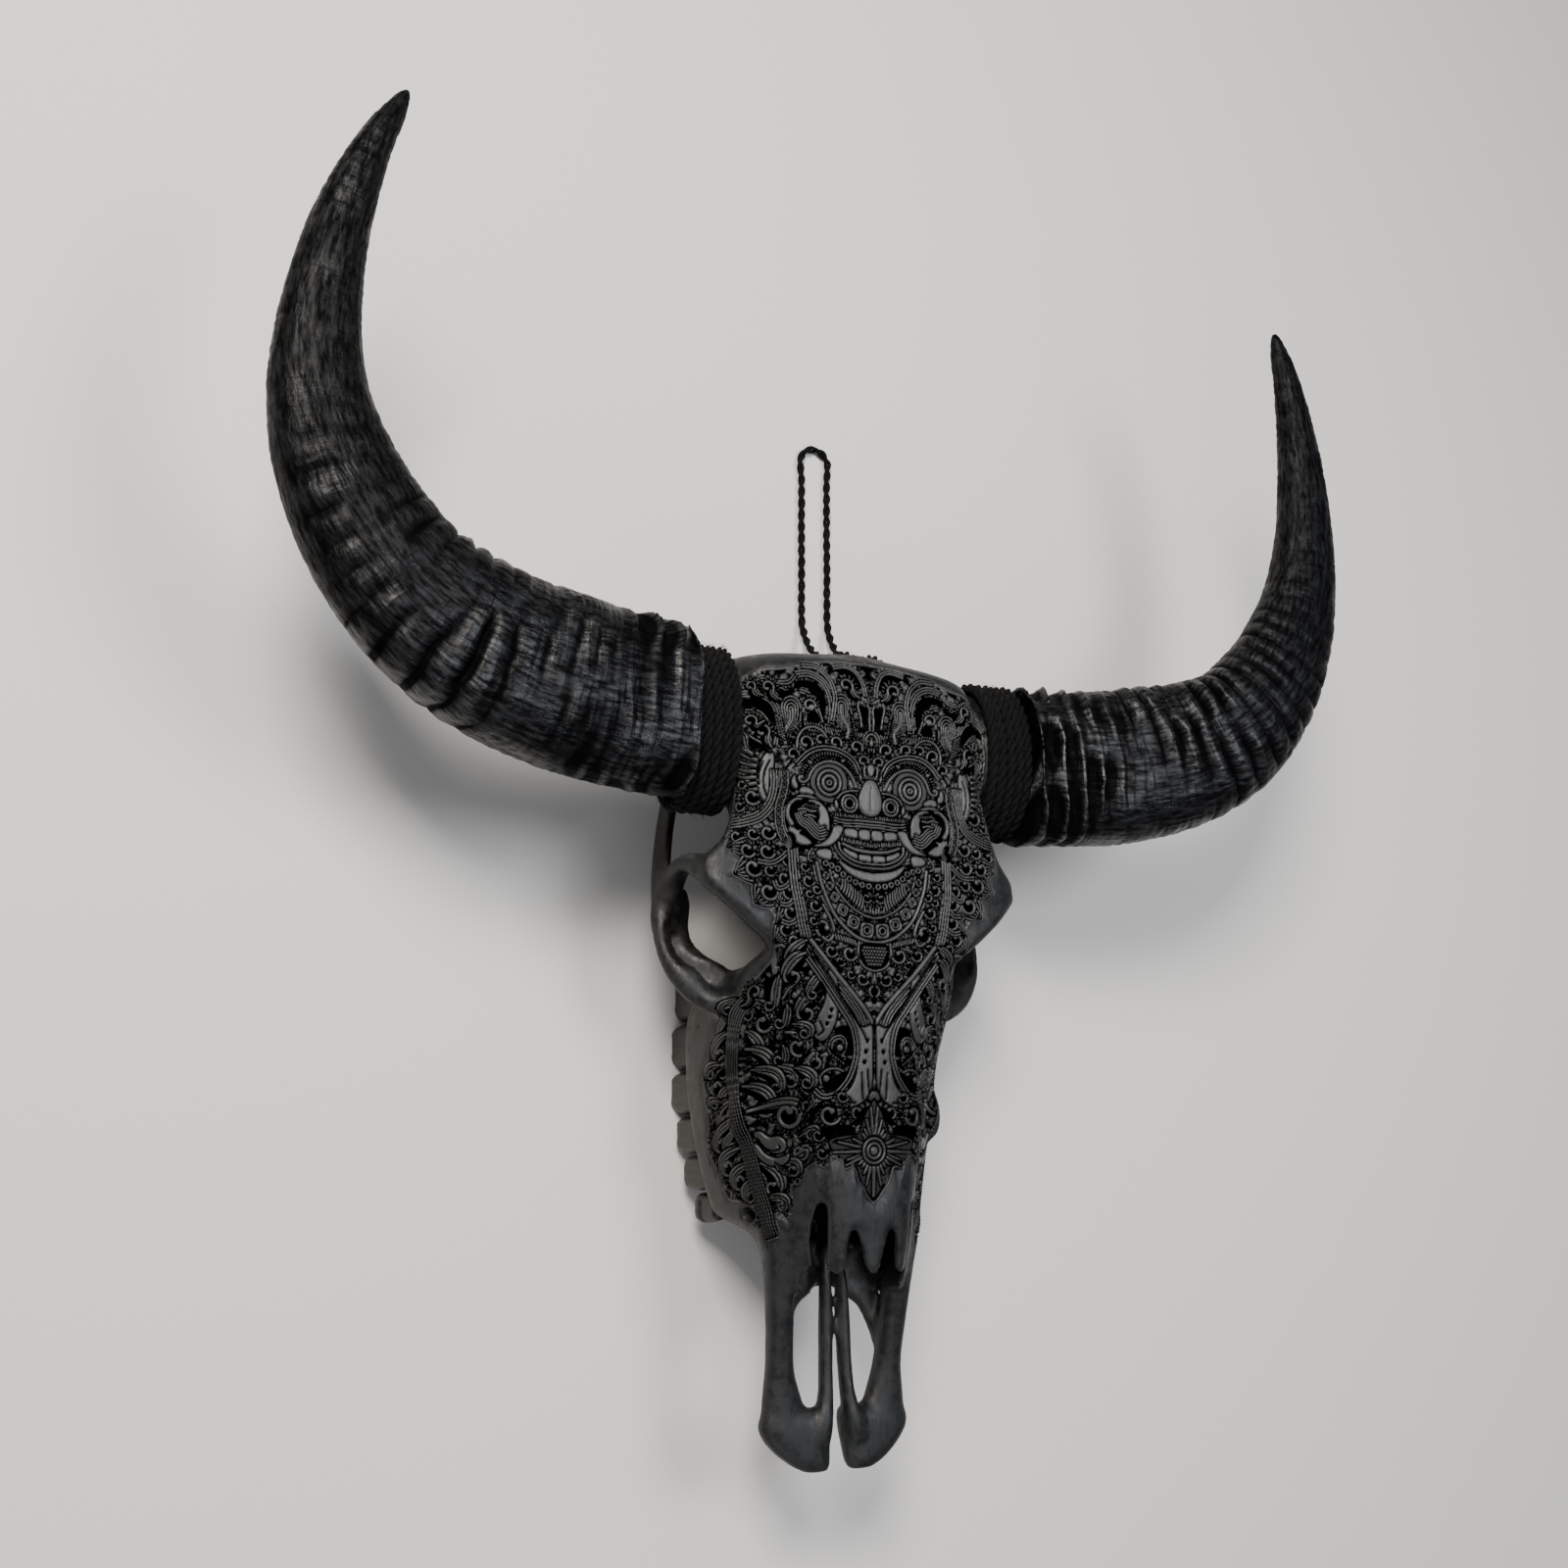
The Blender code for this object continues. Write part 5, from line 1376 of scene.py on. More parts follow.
def carved_skin(name, flat, relief, edge, settings, low, high):
    """The carved front between two heights on the drawing, as a grid of points on the bone."""
    spacing = settings.spacing / MM
    rows = np.arange(low, high + spacing * 0.5, spacing)
    columns = np.arange(-S_REACH + 2, S_REACH - 2, spacing)
    points, normals = flat.grid(rows, columns)
    s, v = np.broadcast_to(np.abs(columns)[None, :], points.shape[:2]), points[..., 1]
    height = look_up(relief.height, relief, s, v)
    inner = look_up(edge, relief, s, v)
    rim = np.clip(inner / 1.6, 0, 1)
    sink = settings.depth / MM * (1 - height) * (1 - rim)
    # past its rim the skin dips into the bone, which hides its edge
    sink += -0.18 * (1 - rim) + np.clip(inner - 1.2, 0, 2) ** 2 * 1.3
    placed = points - normals * sink[..., None]
    keep = inner < 2.9
    quads = grid_faces(len(rows), len(columns), around=False)
    quads = quads[keep.ravel()[quads].all(axis=1)]
    used, quads = np.unique(quads, return_inverse=True)
    mesh = from_arrays(name, placed.reshape(-1, 3)[used], quads.reshape(-1, 4))
    paint_points(mesh, "carve", np.where(rim > 0.5, 1, height).ravel()[used])
    paint_points(mesh, "bare", rim.ravel()[used])
    return mesh


# Teeth

def tooth_places():
    """Name, outer X, middle, length and tip of each tooth of a row, front to back."""
    y = TOOTH_ROW_START
    for name, length, tip in zip(TOOTH_NAMES, TOOTH_LENGTHS, TOOTH_TIPS):
        middle = y + length / 2
        bow = (middle - 120) / 90
        yield name, 75 - 10 * bow ** 2 * (1 if bow < 0 else 0.3), middle, length, tip
        y += length + TOOTH_GAP


def tooth(name, outer, middle, length, tip, side):
    """A waisted two-lobed crown with a folded grinding face and a taper to its root."""
    molar = length > 24
    width = 19 if molar else 14
    angle = round_angles(48)
    # each level with its share of the tooth's full size
    levels = [(TOOTH_ROOT + 3, 0.74), (TOOTH_ROOT, 0.80), (TOOTH_ROOT - 4, 0.88), (TOOTH_ROOT - 10, 0.95)]
    levels += [(z, 0.985) for z in np.linspace(TOOTH_ROOT - 14, tip + 8, 6)]
    levels += [(tip + 3, 0.97), (tip + 0.8, 0.945), (tip, 0.90)]
    fold = (0.10 if molar else 0.04) * (1 + np.cos(4 * angle)) * np.abs(np.sin(angle))
    rings = []
    for z, share in levels:
        lean = (TOOTH_ROOT - z) * 0.06
        flute = 0.018 * np.cos(12 * angle + z * 0.12)
        across = width / 2 * share * (1 - fold + flute)
        x = outer + lean - width / 2 + across * np.sin(angle)
        y = middle + length / 2 * share * rounded(np.cos(angle), 2.6)
        level = np.full(len(angle), z)
        wave = 0.25 * value_noise(np.stack([x, y, level], axis=1), (6, 6, 14), 5)
        rings.append(np.stack([(x + wave) * side, y, level], axis=1))
    crown = Solid()
    crown.loft(rings)
    return crown.mesh(name)


# Horns

# Middle line of a horn with its half width and half thickness, in mm, from its edge to its tip
HORN_LINE = [
    (129, 339, -24, 56, 37), (170, 342, -18, 57, 37), (217, 347, -9, 56.5, 35),
    (264, 358, 1, 53, 32.5), (306, 379, 9, 47.5, 30), (339, 413, 13, 42, 27.5),
    (362, 452, 16, 36, 24.5), (374, 490, 19, 30, 21.5), (377, 529, 23, 25, 18.5),
    (374, 568, 27, 21, 16), (367, 606, 31, 17, 13.5), (355.5, 644, 36, 12, 10),
    (345, 668, 39, 8, 7), (340, 679, 41, 4.4, 4), (338, 683, 41.5, 1.6, 1.6),
]

# Each horn has folds and wrinkles of its own
HORN_SEEDS = {"left": 42, "right": 11}


def folds(at, share, u, v, wide, high, seed):
    """How far a horn's folds and wrinkles stand out, how high they are on a ridge, and their grain."""
    grain = np.stack([np.broadcast_to(at[:, None], u.shape), u * wide, v * high], axis=-1)

    def noise(kind, *size):
        return value_noise(grain, size, seed + kind)

    # the ridges wander in spacing and height, and fade towards the smooth end of the horn
    wander = 7.0 * value_noise(np.outer(at, (1, 0, 0)), (48, 1, 1), seed)[:, None]
    wander = wander + 3.6 * noise(1, 50, 34, 34) + 1.3 * noise(9, 16, 12, 12)
    wander = wander + 3.5 * np.clip(1 - at / 120, 0, 1)[:, None] * np.sin(5 * v + 2 * u)
    phase = 2 * pi * (at[:, None] + wander) / RIDGE_PITCH
    fade = np.clip(1 - share / RIDGED_SHARE, 0, 1)[:, None]
    dip = np.abs(np.sin(phase / 2))
    lumps, crests = 3.4 * dip ** 0.55 - 2.4, 1 - 2.6 * dip ** 0.7
    sharp = np.clip(1.25 - at / 120, 0, 1)[:, None]
    shape = lumps + (crests - lumps) * np.clip(sharp + 0.35 * noise(2, 60, 40, 40), 0, 1)
    strength = np.clip(0.62 + 1.15 * noise(3, 36, 24, 24), 0.05, 1.4)
    strength = strength * (1 + 0.3 * np.clip(1.3 - at / 130, 0, 1)[:, None])
    ridge = np.minimum(1, 2.2 * fade) * shape * strength
    facing = 0.2 + 0.9 * np.clip(1.3 * v + 0.1, 0, 1) * np.clip((0.96 - u) / 0.3, 0.1, 1)
    # between the ridges lie wrinkles, fine growth rings, fibres, dents, and flakes near the skull
    minor = np.cos(phase * 2.7 + 2.5 * noise(4, 12, 20, 20))
    wrinkles = 0.42 * minor * np.minimum(1, 1.6 * fade) * (0.5 + 0.5 * noise(5, 20, 20, 20))
    rings = 0.30 * noise(6, 2.6, 24, 24) + 0.20 * noise(7, 1.3, 9, 9)
    fibres = 0.16 * noise(8, 26, 1.5, 1.5)
    knobs = np.clip(1.3 - at / 260, 0, 1)[:, None] * (0.6 + 1.6 * np.clip(-u, 0, 1))
    dents = 0.95 * noise(10, 30, 24, 24) * knobs
    flakes = 0.5 * np.maximum(0, noise(11, 7, 3.2, 3.2)) * np.clip(1 - at / 90, 0, 1)[:, None]
    off = RIDGE_DEPTH * ridge * facing + wrinkles + rings + fibres + dents + flakes - 0.7
    return off, ridge, grain


def horn_sheath(word, settings):
    """A ridged sheath with growth rings. Its points keep what its material reads."""
    fine = spline(HORN_LINE, 24)
    share = np.linspace(0, 1, len(fine))
    fine[:, 1] -= HORN_SAG[word] * np.clip(1.25 - 1.6 * share, 0, 1) ** 0.8
    fine[:, 0] += HORN_REACH[word] * np.sin(pi * np.clip(1.3 * share - 0.1, 0, 1))
    run = run_along(fine)
    share = np.linspace(0, 1, settings.rings) ** 1.1
    at = share * run[-1]
    line = at_places(fine, run, at)
    along = ahead(line[:, :3])
    # the first sections turn to stand square on the core
    along[:6] = unit(along[:6] * np.linspace(0, 1, 6)[:, None] + np.array([1, 0, 0])
                     * np.linspace(1, 0, 6)[:, None])
    across = unit(np.cross(along, (0, 0, 1)))
    up = np.cross(across, along)
    angle = round_angles(settings.sides)
    power = (2 + 0.9 * (1 - share))[:, None]
    u, v = rounded(np.cos(angle)[None], power), rounded(np.sin(angle)[None], power)
    lean = 1 - 0.16 * (1 - share)[:, None] * np.maximum(0, -v)
    wide, high = line[:, 3:4], line[:, 4:5]
    off, ridge, grain = folds(at, share, u, v, wide, high, HORN_SEEDS[word])
    tip = np.clip(wide / 6, 0.1, 1)
    reach_u, reach_v = 1 + off * tip / wide, 1 + off * tip / high
    points = (line[:, None, :3] + across[:, None] * (wide * u * lean * reach_u)[..., None]
              + up[:, None] * (high * v * reach_v)[..., None])
    points[..., 0] *= SIDES[word]
    sheath = Solid()
    sheath.loft(points)
    mesh = sheath.mesh(f"horn_sheath_{word}")
    keep_inside(mesh, CAD_BOX, 0.05)
    paint_points(mesh, "ridge", ridge.ravel())
    paint_points(mesh, "outward", np.broadcast_to(share[:, None], u.shape).ravel())
    paint_points(mesh, "grain", grain * MM)
    return mesh


# Rope and cord

def square_to(along, out):
    """The part of each direction out that is square to a line, at length 1."""
    return unit(out - along * np.sum(out * along, axis=1, keepdims=True))


def rings_round(line, first, second, size, sides):
    """Rings round a line, in two directions square to it."""
    angle = round_angles(sides)[None, :, None]
    return line[:, None] + size[:, None] * (np.cos(angle) * first[:, None] + np.sin(angle) * second[:, None])


def strands(path, out, count, radius, thick, lay):
    """Strands that wind round a line. out gives a direction square to the line at each point."""
    along = ahead(path)
    out = square_to(along, out)
    aside = np.cross(along, out)
    run = run_along(path)
    made = []
    for k in range(count):
        wind = 2 * pi * (run / lay + k / count)
        middle = path + radius * (np.cos(wind)[:, None] * out + np.sin(wind)[:, None] * aside)
        forward = ahead(middle)
        first = square_to(forward, out)
        size = thick * (1 + 0.10 * np.sin(run / 2.3 + 2 * k) * np.sin(run / 5.1))
        made.append(rings_round(middle, first, np.cross(forward, first), size[:, None], 8))
    return made


def neck(angle, off):
    """A place round the neck of a core, that far off the bone."""
    return (NECK_MIDDLE[0] + (NECK_RADII[0] + off) * np.cos(angle),
            NECK_MIDDLE[1] + (NECK_RADII[1] + off) * np.sin(angle))


def rope_turns(word, settings):
    """Turns of three-ply rope laid side by side round the neck of a core."""
    side = SIDES[word]
    radius = ROPE_DIAMETER / 2
    rng = np.random.default_rng(5 if side > 0 else 6)
    turns = np.linspace(-0.04, ROPE_TURNS + 0.04, 3000)
    angle = 2 * pi * turns - pi * 0.62
    # the turns sit side by side, and the rope steps across to the next one under the horn
    step = np.floor(turns) + np.clip((turns - np.floor(turns) - 0.86) / 0.14, 0, 1)
    x = BINDING_START + radius * 0.97 + np.clip(step, 0, ROPE_TURNS - 1) * ROPE_DIAMETER * 0.975
    slack = value_noise(np.outer(turns * 3.1, (1, 0, 0)), (1, 1, 1), 8 + side)
    off = NECK_CLEARANCE + radius + 0.9 + 0.7 * slack
    # both ends are tucked under the turns
    tuck = np.clip((0.02 - np.minimum(turns, ROPE_TURNS - turns)) / 0.06, 0, 1)
    y, z = neck(angle, off - 5 * tuck)
    path = even(np.stack([(x + 0.45 * slack) * side, y, z], axis=1), 1.25)
    centre = path * (1, 0, 0) + (0, *NECK_MIDDLE)
    binding = Solid()
    for strand in strands(path, path - centre, 3, radius * 0.56, radius * 0.52, settings.lay / MM):
        binding.loft(strand)
    for k in range(settings.hairs):
        binding.loft(loose_fibre(path, centre, rng, ROPE_DIAMETER * 0.42, 9.0))
    return binding.mesh(f"rope_binding_{word}")


def loose_fibre(path, centre, rng, depth, longest):
    """A fine fibre that stands out of a rope and bends over."""
    k = rng.integers(5, len(path) - 5)
    out = unit(path[k] - centre[k])
    along = unit(path[k + 1] - path[k - 1])
    sideways = np.cross(along, out)
    aim = rng.normal(0, 0.9) * sideways + rng.normal(0, 0.9) * along
    length = rng.uniform(0.3, 1) * longest
    t = np.linspace(0, 1, 6)[:, None]
    droop = rng.normal(0, 0.5) * along - 0.35 * out
    line = path[k] + out * depth + length * (t * unit(out * 0.8 + aim) + t ** 2 * droop)
    first = unit(np.cross(np.gradient(line, axis=0), sideways + 0.3 * out + 1e-3))
    second = unit(np.cross(np.gradient(line, axis=0), first))
    return rings_round(line, first, second, 0.22 * (1 - 0.7 * t), 3)


def cord_route():
    """The cord's own points: out of the back of the skull, down, along the ground, round and back."""
    left, right = CORD_LEGS
    middle, radius = (left + right) / 2, (right - left) / 2 + 1
    ground = -FACE_HEIGHT + CORD_DIAMETER / 2 + 0.3
    run = [(374, -60.5), (388, -62), (399, -63.2), (409, -68), (416, -80), (419, -96), (422, -113),
           (430, -128), (441, -138), (455, ground + 1.5), (470, ground), (500, ground),
           (535, ground), (572, ground)]
    turn = [(middle - radius * cos(a), LOOP_MIDDLE + radius * sin(a), ground)
            for a in (pi * k / 8 for k in range(9))]
    return [(left, y, z) for y, z in run] + turn + [(right, y, z) for y, z in reversed(run)]


def twisted_cord(settings):
    """Two twisted plies with loose fibres, and the line that they follow."""
    path = even(spline(cord_route(), 8), 1.1)
    out = np.cross(ahead(path), (1.0, 0, 0)) + np.array([0, 0, 1e-3])
    ply = CORD_DIAMETER / 2
    twisted = Solid()
    for strand in strands(path, out, 2, ply * 0.5, ply * 0.5, CORD_LAY):
        twisted.loft(strand)
    rng = np.random.default_rng(9)
    for k in range(settings.hairs):
        twisted.loft(loose_fibre(path, path - (0, 0, 1), rng, ply * 0.5, 5.0))
    return twisted.mesh("twisted_cord"), path


# Materials

# Where a Mix node takes its factor and its two colours, and gives the mixed one
FACTOR, FIRST, SECOND, MIXED = 0, 6, 7, 2

# How strongly bone and horn, and tooth enamel, bend light
SOFT_IOR, ENAMEL_IOR = 1.54, 1.62


def node(tree, kind, values=(), output=0, **settings):
    """Adds a shader node. values gives its inputs by place or by name, each a number or a link."""
    made = tree.nodes.new("ShaderNode" + kind)
    for name, setting in settings.items():
        setattr(made, name, setting)
    for key, value in (values.items() if isinstance(values, dict) else enumerate(values)):
        if isinstance(value, bpy.types.NodeSocket):
            tree.links.new(value, made.inputs[key])
        else:
            made.inputs[key].default_value = value
    return made.outputs[output]


def material(name, shader_for, *settings):
    """A new material that ends in the shader which shader_for adds to it."""
    made = bpy.data.materials.new(name)
    made.use_nodes = True
    tree = made.node_tree
    tree.nodes.clear()
    end = tree.nodes.new("ShaderNodeOutputMaterial")
    tree.links.new(shader_for(tree, *settings), end.inputs["Surface"])
    return made


def opaque(colour, share=1.0):
    """A colour at some share of its strength, as a shader takes it."""
    return (*(share * c for c in colour), 1)


def bone_stain(tree, place, settings):
    """Colour, roughness and fine bump of the stain on bare bone, with brown bounce light painted in low on
    the sides.
    """
    height = node(tree, "SeparateXYZ", [place], "Z")
    clouds = node(tree, "TexNoise", {"Vector": place, "Scale": 1 / (38 * MM), "Detail": 4})
    # painted bounce light: brown and lighter low on the sides, in patches
    low = node(tree, "MapRange", [height, 105 * MM, 60 * MM, 0, 1])
    patches = node(tree, "MapRange", [clouds, 0.35, 0.60, 0.35, 1])
    wear_and_bounce = node(tree, "Math", [low, patches], operation="MULTIPLY")
    colour = node(tree, "Mix", {FACTOR: wear_and_bounce, FIRST: opaque(settings.paint), SECOND: opaque(settings.wear_and_bounce)},
                  MIXED, data_type="RGBA")
    mottle = node(tree, "TexNoise", {"Vector": place, "Scale": 1 / (7 * MM), "Detail": 5, "Roughness": 0.65})
    dark = node(tree, "MapRange", [mottle, 0.38, 0.60, 0.85, 0])
    colour = node(tree, "Mix", {FACTOR: dark, FIRST: colour, SECOND: opaque(settings.paint, 0.3)},
                  MIXED, data_type="RGBA")
    rough = node(tree, "MapRange", [mottle, 0.35, 0.65, 0.40, 0.62])
    # the grain of bone is finer than this, and is drawn as coarse as it needs to show
    along = node(tree, "Mapping", {"Vector": place, "Scale": (1.0, 0.25, 1.0)})
    grain = node(tree, "TexNoise", {"Vector": along, "Scale": 1 / (2.6 * MM), "Detail": 4, "Roughness": 0.6})
    bump = node(tree, "Bump", {"Strength": 0.6, "Distance": 0.5 * MM, "Height": grain})
    return colour, rough, bump


def stained_bone(tree, settings):
    """Bone stained black and rubbed down."""
    # a satin skin with dull mottling, browner and lighter low on the sides as painted bounce light, over a
    # faint lengthwise grain
    colour, rough, bump = bone_stain(tree, node(tree, "TexCoord", output="Object"), settings)
    return node(tree, "BsdfPrincipled", {"Base Color": colour, "Roughness": rough, "Normal": bump,
                                         "Specular IOR Level": 0.32, "IOR": SOFT_IOR})


def carved_bone(tree, carving, bone):
    """The same stained bone where it is carved."""
    # rubbed grey and satin on the raised lines, and painted lighter towards the brow where more light falls;
    # black and without any shine in the cut ground and pits, partly pooled stain and partly painted shade of
    # the grooves
    place = node(tree, "TexCoord", output="Object")
    bare, _, bump = bone_stain(tree, place, bone)
    carve = node(tree, "Attribute", output="Fac", attribute_name="carve")
    outside = node(tree, "Attribute", output="Fac", attribute_name="bare")
    across = node(tree, "SeparateXYZ", [place], "Y")
    clouds = node(tree, "TexNoise", {"Vector": place, "Scale": 1 / (16 * MM), "Detail": 4})
    patches = node(tree, "MapRange", [clouds, 0.30, 0.62, 0.5, 1])
    # painted light: the raised lines are lighter towards the brow and darker down the muzzle, as the light
    # falls
    brow = node(tree, "MapRange", [across, -190 * MM, -20 * MM, 0.30, 1])
    rubbed_and_lit = node(tree, "Math", [patches, brow], operation="MULTIPLY")
    raised = node(tree, "Mix", {FACTOR: rubbed_and_lit, FIRST: opaque(carving.raised, 0.12),
                                SECOND: opaque(carving.raised)}, MIXED, data_type="RGBA")
    # painted shade in part: the cut ground and pits go near black and lose their shine
    top = node(tree, "MapRange", [carve, 0.25, 0.80, 0, 1])
    colour = node(tree, "Mix", {FACTOR: top, FIRST: opaque(carving.sunk), SECOND: raised},
                  MIXED, data_type="RGBA")
    colour = node(tree, "Mix", {FACTOR: outside, FIRST: colour, SECOND: bare}, MIXED, data_type="RGBA")
    rough = node(tree, "MapRange", [carve, 0.2, 0.85, 0.95, 0.42])
    shine = node(tree, "MapRange", [carve, 0.35, 0.85, 0, 0.4])
    return node(tree, "BsdfPrincipled", {"Base Color": colour, "Roughness": rough, "Normal": bump,
                                         "Specular IOR Level": shine, "IOR": SOFT_IOR})


def lacquered_horn(tree, settings):
    """Black horn, scraped and lacquered."""
    # near black and glossy: the bright streaks along the horn on the crests are a painted highlight, a
    # greyer colour on top of the real shine, and the folds between them keep the bare black and lose their
    # shine, as painted shade
    grain = node(tree, "Attribute", output="Vector", attribute_name="grain")
    ridge = node(tree, "Attribute", output="Fac", attribute_name="ridge")
    outward = node(tree, "Attribute", output="Fac", attribute_name="outward")
    # the fibres of horn are finer than this, and are drawn as coarse as they need to show
    lengthwise = node(tree, "Mapping", {"Vector": grain, "Scale": (0.22, 1.0, 1.0)})
    fibres = node(tree, "TexNoise", {"Vector": lengthwise, "Scale": 1 / (3.0 * MM), "Detail": 4,
                                     "Roughness": 0.7})
    crosswise = node(tree, "Mapping", {"Vector": grain, "Scale": (1.0, 0.16, 0.16)})
    wrinkles = node(tree, "TexNoise", {"Vector": crosswise, "Scale": 1 / (3.4 * MM), "Detail": 4,
                                       "Roughness": 0.65})
    patches = node(tree, "TexNoise", {"Vector": grain, "Scale": 1 / (22 * MM), "Detail": 4})
    flecks = node(tree, "MapRange", [fibres, 0.48, 0.64, 0, 1])
    # painted highlight: the crests are lighter and shinier near the base, and fade towards the tip
    highlight_near_base = node(tree, "MapRange", [outward, 0.05, 0.45, 1.2, 0.42])
    on_ridge = node(tree, "MapRange", [ridge, -0.8, 0.7, 0.02, 1])
    crest_highlight = node(tree, "Math", [on_ridge, highlight_near_base], operation="MULTIPLY")
    rubbed_and_lit = node(tree, "Math", [flecks, crest_highlight], operation="MULTIPLY")
    colour = node(tree, "Mix", {FACTOR: rubbed_and_lit, FIRST: opaque(settings.horn),
                                SECOND: opaque(settings.crest_highlight)}, MIXED, data_type="RGBA")
    uneven = node(tree, "MapRange", [patches, 0.35, 0.65, 0.22, 0.48])
    dulled = node(tree, "MapRange", [outward, 0.3, 0.7, 0, 0.10])
    rough = node(tree, "Math", [uneven, dulled], operation="ADD")
    streaks = node(tree, "MapRange", [fibres, 0.38, 0.62, 0.06, 0.72])
    shine = node(tree, "Math", [crest_highlight, streaks], operation="MULTIPLY")
    bump = node(tree, "Bump", {"Strength": 0.8, "Distance": 0.8 * MM, "Height": fibres})
    bump = node(tree, "Bump", {"Strength": 0.7, "Distance": 0.9 * MM, "Height": wrinkles, "Normal": bump})
    return node(tree, "BsdfPrincipled", {"Base Color": colour, "Roughness": rough, "Normal": bump,
                                         "Specular IOR Level": shine, "IOR": SOFT_IOR})


def stained_enamel(tree, settings):
    """Tooth enamel under the same black stain."""
    # harder and smoother than the bone, worn brown on its upright ribs
    place = node(tree, "TexCoord", output="Object")
    upright = node(tree, "Mapping", {"Vector": place, "Scale": (1.0, 1.0, 0.2)})
    streaks = node(tree, "TexNoise", {"Vector": upright, "Scale": 1 / (2.5 * MM), "Detail": 4,
                                      "Roughness": 0.6})
    wear_and_bounce = node(tree, "MapRange", [streaks, 0.35, 0.65, 0, 1])
    colour = node(tree, "Mix", {FACTOR: wear_and_bounce, FIRST: opaque(settings.enamel, 0.25),
                                SECOND: opaque(settings.enamel)}, MIXED, data_type="RGBA")
    bump = node(tree, "Bump", {"Strength": 0.4, "Distance": 0.3 * MM, "Height": streaks})
    return node(tree, "BsdfPrincipled", {"Base Color": colour, "Roughness": 0.46, "Normal": bump,
                                         "Specular IOR Level": 0.35, "IOR": ENAMEL_IOR})


def dyed_jute(tree, settings):
    """Jute dyed black and twisted."""
    # quite matte, with a few fibres a little paler than the rest
    place = node(tree, "TexCoord", output="Object")
    fibres = node(tree, "TexNoise", {"Vector": place, "Scale": 1 / (1.4 * MM), "Detail": 4,
                                     "Roughness": 0.7})
    pale = node(tree, "MapRange", [fibres, 0.50, 0.68, 0, 1])
    colour = node(tree, "Mix", {FACTOR: pale, FIRST: opaque(settings.fibre, 0.5),
                                SECOND: opaque(settings.fibre, 3.0)}, MIXED, data_type="RGBA")
    bump = node(tree, "Bump", {"Strength": 0.8, "Distance": 0.6 * MM, "Height": fibres})
    return node(tree, "BsdfPrincipled", {"Base Color": colour, "Roughness": 0.9, "Normal": bump,
                                         "Specular IOR Level": 0.18})


def pale_floor(tree, settings):
    """A plain painted floor."""
    # even and dull, so that it shows nothing but soft shadows
    return node(tree, "BsdfPrincipled", {"Base Color": opaque(settings.floor), "Roughness": 0.9})


# Stage

# Each light: name, place, power in watts, size in metres, colour
LAMPS = [
    ("key", (-0.9, 0.9, 1.8), 58, 0.7, "#fffaf2"),
    ("fill", (0.62, 0.2, 2.0), 24, 0.7, "#f2f6ff"),
    ("low", (-0.6, -1.6, 1.3), 9, 1.2, "#f6f8ff"),
]
LIT_PLACE = (0, 0, 0.1)
SKY_COLOUR = "#e8ecf2"
SKY_STRENGTH = 0.22

# Half the floor's width and its level, just under the part, in metres
FLOOR_REACH = 30.0
FLOOR_LEVEL = -0.0005

# The photograph's own camera
CAMERA_PLACE = ((np.array([-552.18, 75.62, 945.63]) + PLACE) * MM).tolist()
CAMERA_AXES = [(0.88882046, -0.09477785, -0.44834735), (0.00135593, 0.978918, -0.20424914),
               (0.45825358, 0.18093288, 0.87021086)]
FILM_WIDTH = 36


def area_light(name, place, power, size, colour):
    """A soft square light, aimed at the skull."""
    lamp = bpy.data.lights.new(name, "AREA")
    lamp.energy = power
    lamp.shape = "SQUARE"
    lamp.size = size
    lamp.color = linear(colour)
    made = put(name, lamp)
    made.location = place
    made.rotation_euler = (Vector(LIT_PLACE) - Vector(place)).to_track_quat("-Z", "Y").to_euler()
    return made


# Operators

class SKULL_OT_bone(bpy.types.Operator):
    """Makes the skull's bone and the carved skin over its front"""
    bl_idname = "buffalo_skull.bone"
    bl_label = "Bone and carving"

    def execute(self, context):
        settings, carving = context.scene.skull_bone, context.scene.skull_carving
        skull = bone_before_carving(settings)
        flat = Unrolled(skull)
        modify(skull, "DECIMATE", ratio=settings.kept)
        freeze(skull)
        keep_inside(skull.data, SKULL_BOX)
        relief, edge = drawing()
        sink_under_carving(skull.data, flat, relief, edge)
        skull.data.shade_smooth()
        skull.data.materials.append(material("Stained bone", stained_bone, settings))
        settle(skull, "skull", slot="stained_bone")
        finish = material("Carved bone", carved_bone, carving, settings)
        for name, low, high in CARVED_PARTS:
            mesh = carved_skin(name, flat, relief, edge, carving, low, high)
            settle(put(name, mesh, finish), slot="stained_bone")
        return {"FINISHED"}


class SKULL_OT_teeth(bpy.types.Operator):
    """Makes the twelve cheek teeth"""
    bl_idname = "buffalo_skull.teeth"
    bl_label = "Cheek teeth"

    def execute(self, context):
        finish = material("Stained enamel", stained_enamel, context.scene.skull_bone)
        for word, side in SIDES.items():
            for name, *shape in tooth_places():
                made = put(f"{name}_{word}_crown", tooth(name, *shape, side), finish)
                settle(made, f"{name}_{word}", slot="stained_tooth")
        return {"FINISHED"}


class SKULL_OT_horns(bpy.types.Operator):
    """Makes both ridged horn sheaths"""
    bl_idname = "buffalo_skull.horns"
    bl_label = "Horns"

    def execute(self, context):
        settings = context.scene.skull_horns
        finish = material("Lacquered horn", lacquered_horn, settings)
        for word in SIDES:
            made = put(f"horn_sheath_{word}", horn_sheath(word, settings), finish)
            settle(made, f"horn_{word}", slot="lacquered_horn")
        return {"FINISHED"}


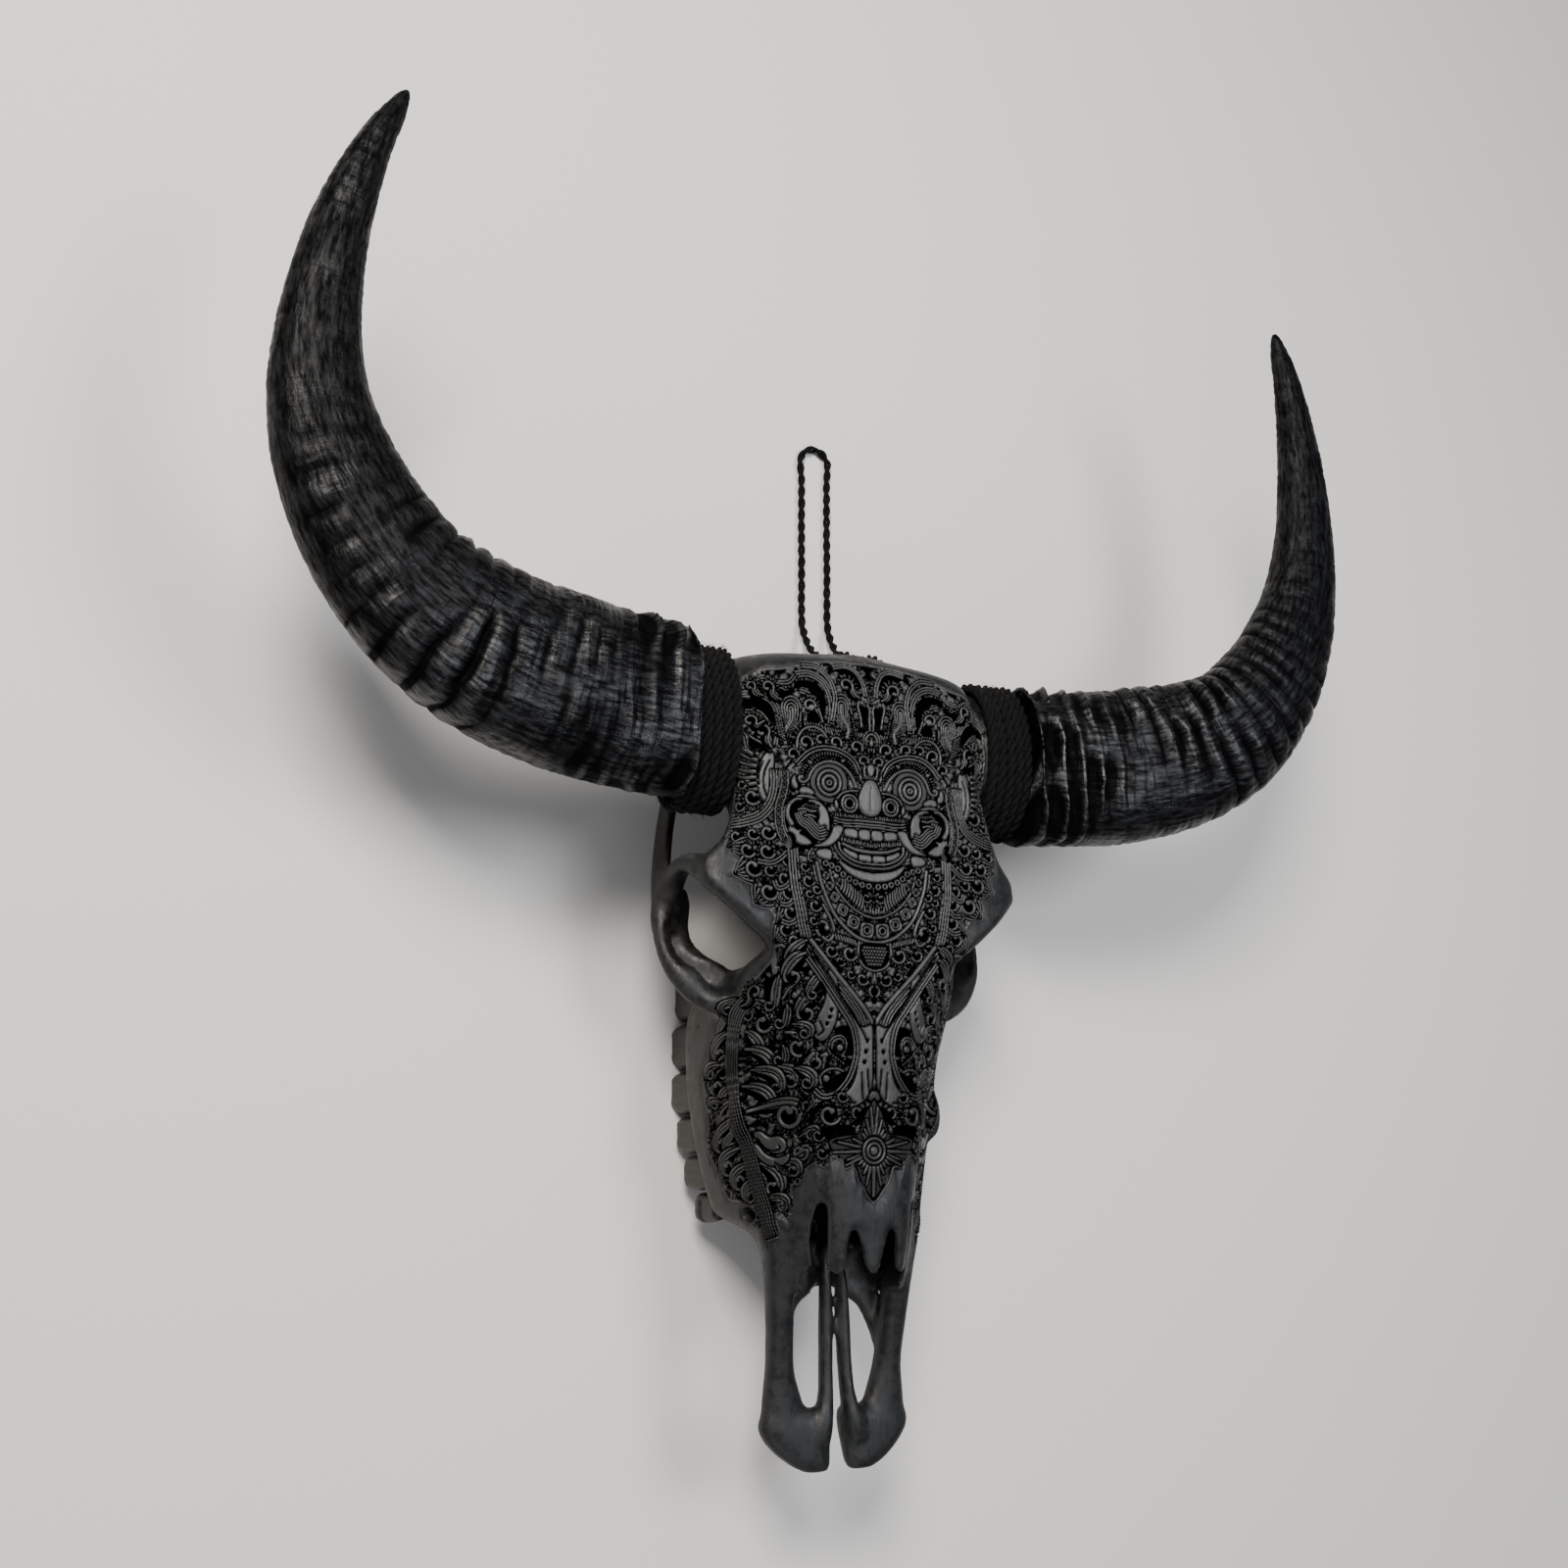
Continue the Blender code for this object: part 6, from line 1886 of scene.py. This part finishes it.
class SKULL_OT_rope(bpy.types.Operator):
    """Makes the rope bindings and the hanging cord"""
    bl_idname = "buffalo_skull.rope"
    bl_label = "Rope and cord"

    def execute(self, context):
        settings = context.scene.skull_rope
        finish = material("Dyed jute", dyed_jute, settings)
        for word in SIDES:
            made = put(f"rope_binding_{word}", rope_turns(word, settings), finish)
            settle(made, f"binding_{word}", slot="dyed_jute")
        mesh, path = twisted_cord(settings)
        made = put("twisted_cord", mesh, finish)
        settle(made, "hanging_cord", slot="dyed_jute")
        route = (path + PLACE) * MM
        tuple(route[0])
        float(run_along(route)[-1])
        return {"FINISHED"}


class SKULL_OT_stage(bpy.types.Operator):
    """Makes the floor, the lights and the camera"""
    bl_idname = "buffalo_skull.stage"
    bl_label = "Stage"

    def execute(self, context):
        settings = context.scene.skull_stage
        mesh = bpy.data.meshes.new("floor")
        mesh.from_pydata([(x * FLOOR_REACH, y * FLOOR_REACH, FLOOR_LEVEL)
                          for x, y in ((-1, -1), (1, -1), (1, 1), (-1, 1))], [], [(0, 1, 2, 3)])
        mesh.materials.append(material("Floor", pale_floor, settings))
        floor = put("floor", mesh)
        lamps = [area_light(*lamp) for lamp in LAMPS]
        world = bpy.data.worlds.new("studio")
        context.scene.world = world
        world.use_nodes = True
        background = world.node_tree.nodes["Background"]
        background.inputs["Color"].default_value = opaque(linear(SKY_COLOUR))
        background.inputs["Strength"].default_value = SKY_STRENGTH
        lens = bpy.data.cameras.new("camera")
        lens.lens = settings.lens
        lens.sensor_width = FILM_WIDTH
        camera = put("camera", lens)
        camera.matrix_world = Matrix.Translation(CAMERA_PLACE) @ Matrix(CAMERA_AXES).to_4x4()
        context.scene.camera = camera
        return {"FINISHED"}


class SKULL_PT_sidebar(bpy.types.Panel):
    """Lists the steps that make the skull"""
    bl_label = "Carved Buffalo Skull"
    bl_idname = "SKULL_PT_sidebar"
    bl_space_type = "VIEW_3D"
    bl_region_type = "UI"
    bl_category = "Skull"

    def draw(self, context):
        layout, scene = self.layout, context.scene
        for step in STEPS:
            layout.operator(step.bl_idname)
        for holder in HOLDERS:
            settings = getattr(scene, holder)
            box = layout.box()
            for name in settings.__annotations__:
                box.prop(settings, name)


STEPS = [SKULL_OT_bone, SKULL_OT_teeth, SKULL_OT_horns, SKULL_OT_rope, SKULL_OT_stage]
HOLDERS = {"skull_bone": SkullBoneSettings, "skull_carving": CarvingSettings,
           "skull_horns": HornSettings, "skull_rope": RopeSettings, "skull_stage": StageSettings}


def register():
    for group in [*HOLDERS.values(), *STEPS, SKULL_PT_sidebar]:
        bpy.utils.register_class(group)
    for name, group in HOLDERS.items():
        setattr(bpy.types.Scene, name, bpy.props.PointerProperty(type=group))


def unregister():
    for name in HOLDERS:
        delattr(bpy.types.Scene, name)
    for group in [SKULL_PT_sidebar, *reversed(STEPS), *HOLDERS.values()]:
        bpy.utils.unregister_class(group)


def main():
    register()
    bpy.ops.buffalo_skull.bone()
    bpy.ops.buffalo_skull.teeth()
    bpy.ops.buffalo_skull.horns()
    bpy.ops.buffalo_skull.rope()
    bpy.ops.buffalo_skull.stage()


if __name__ == "__main__":
    main()
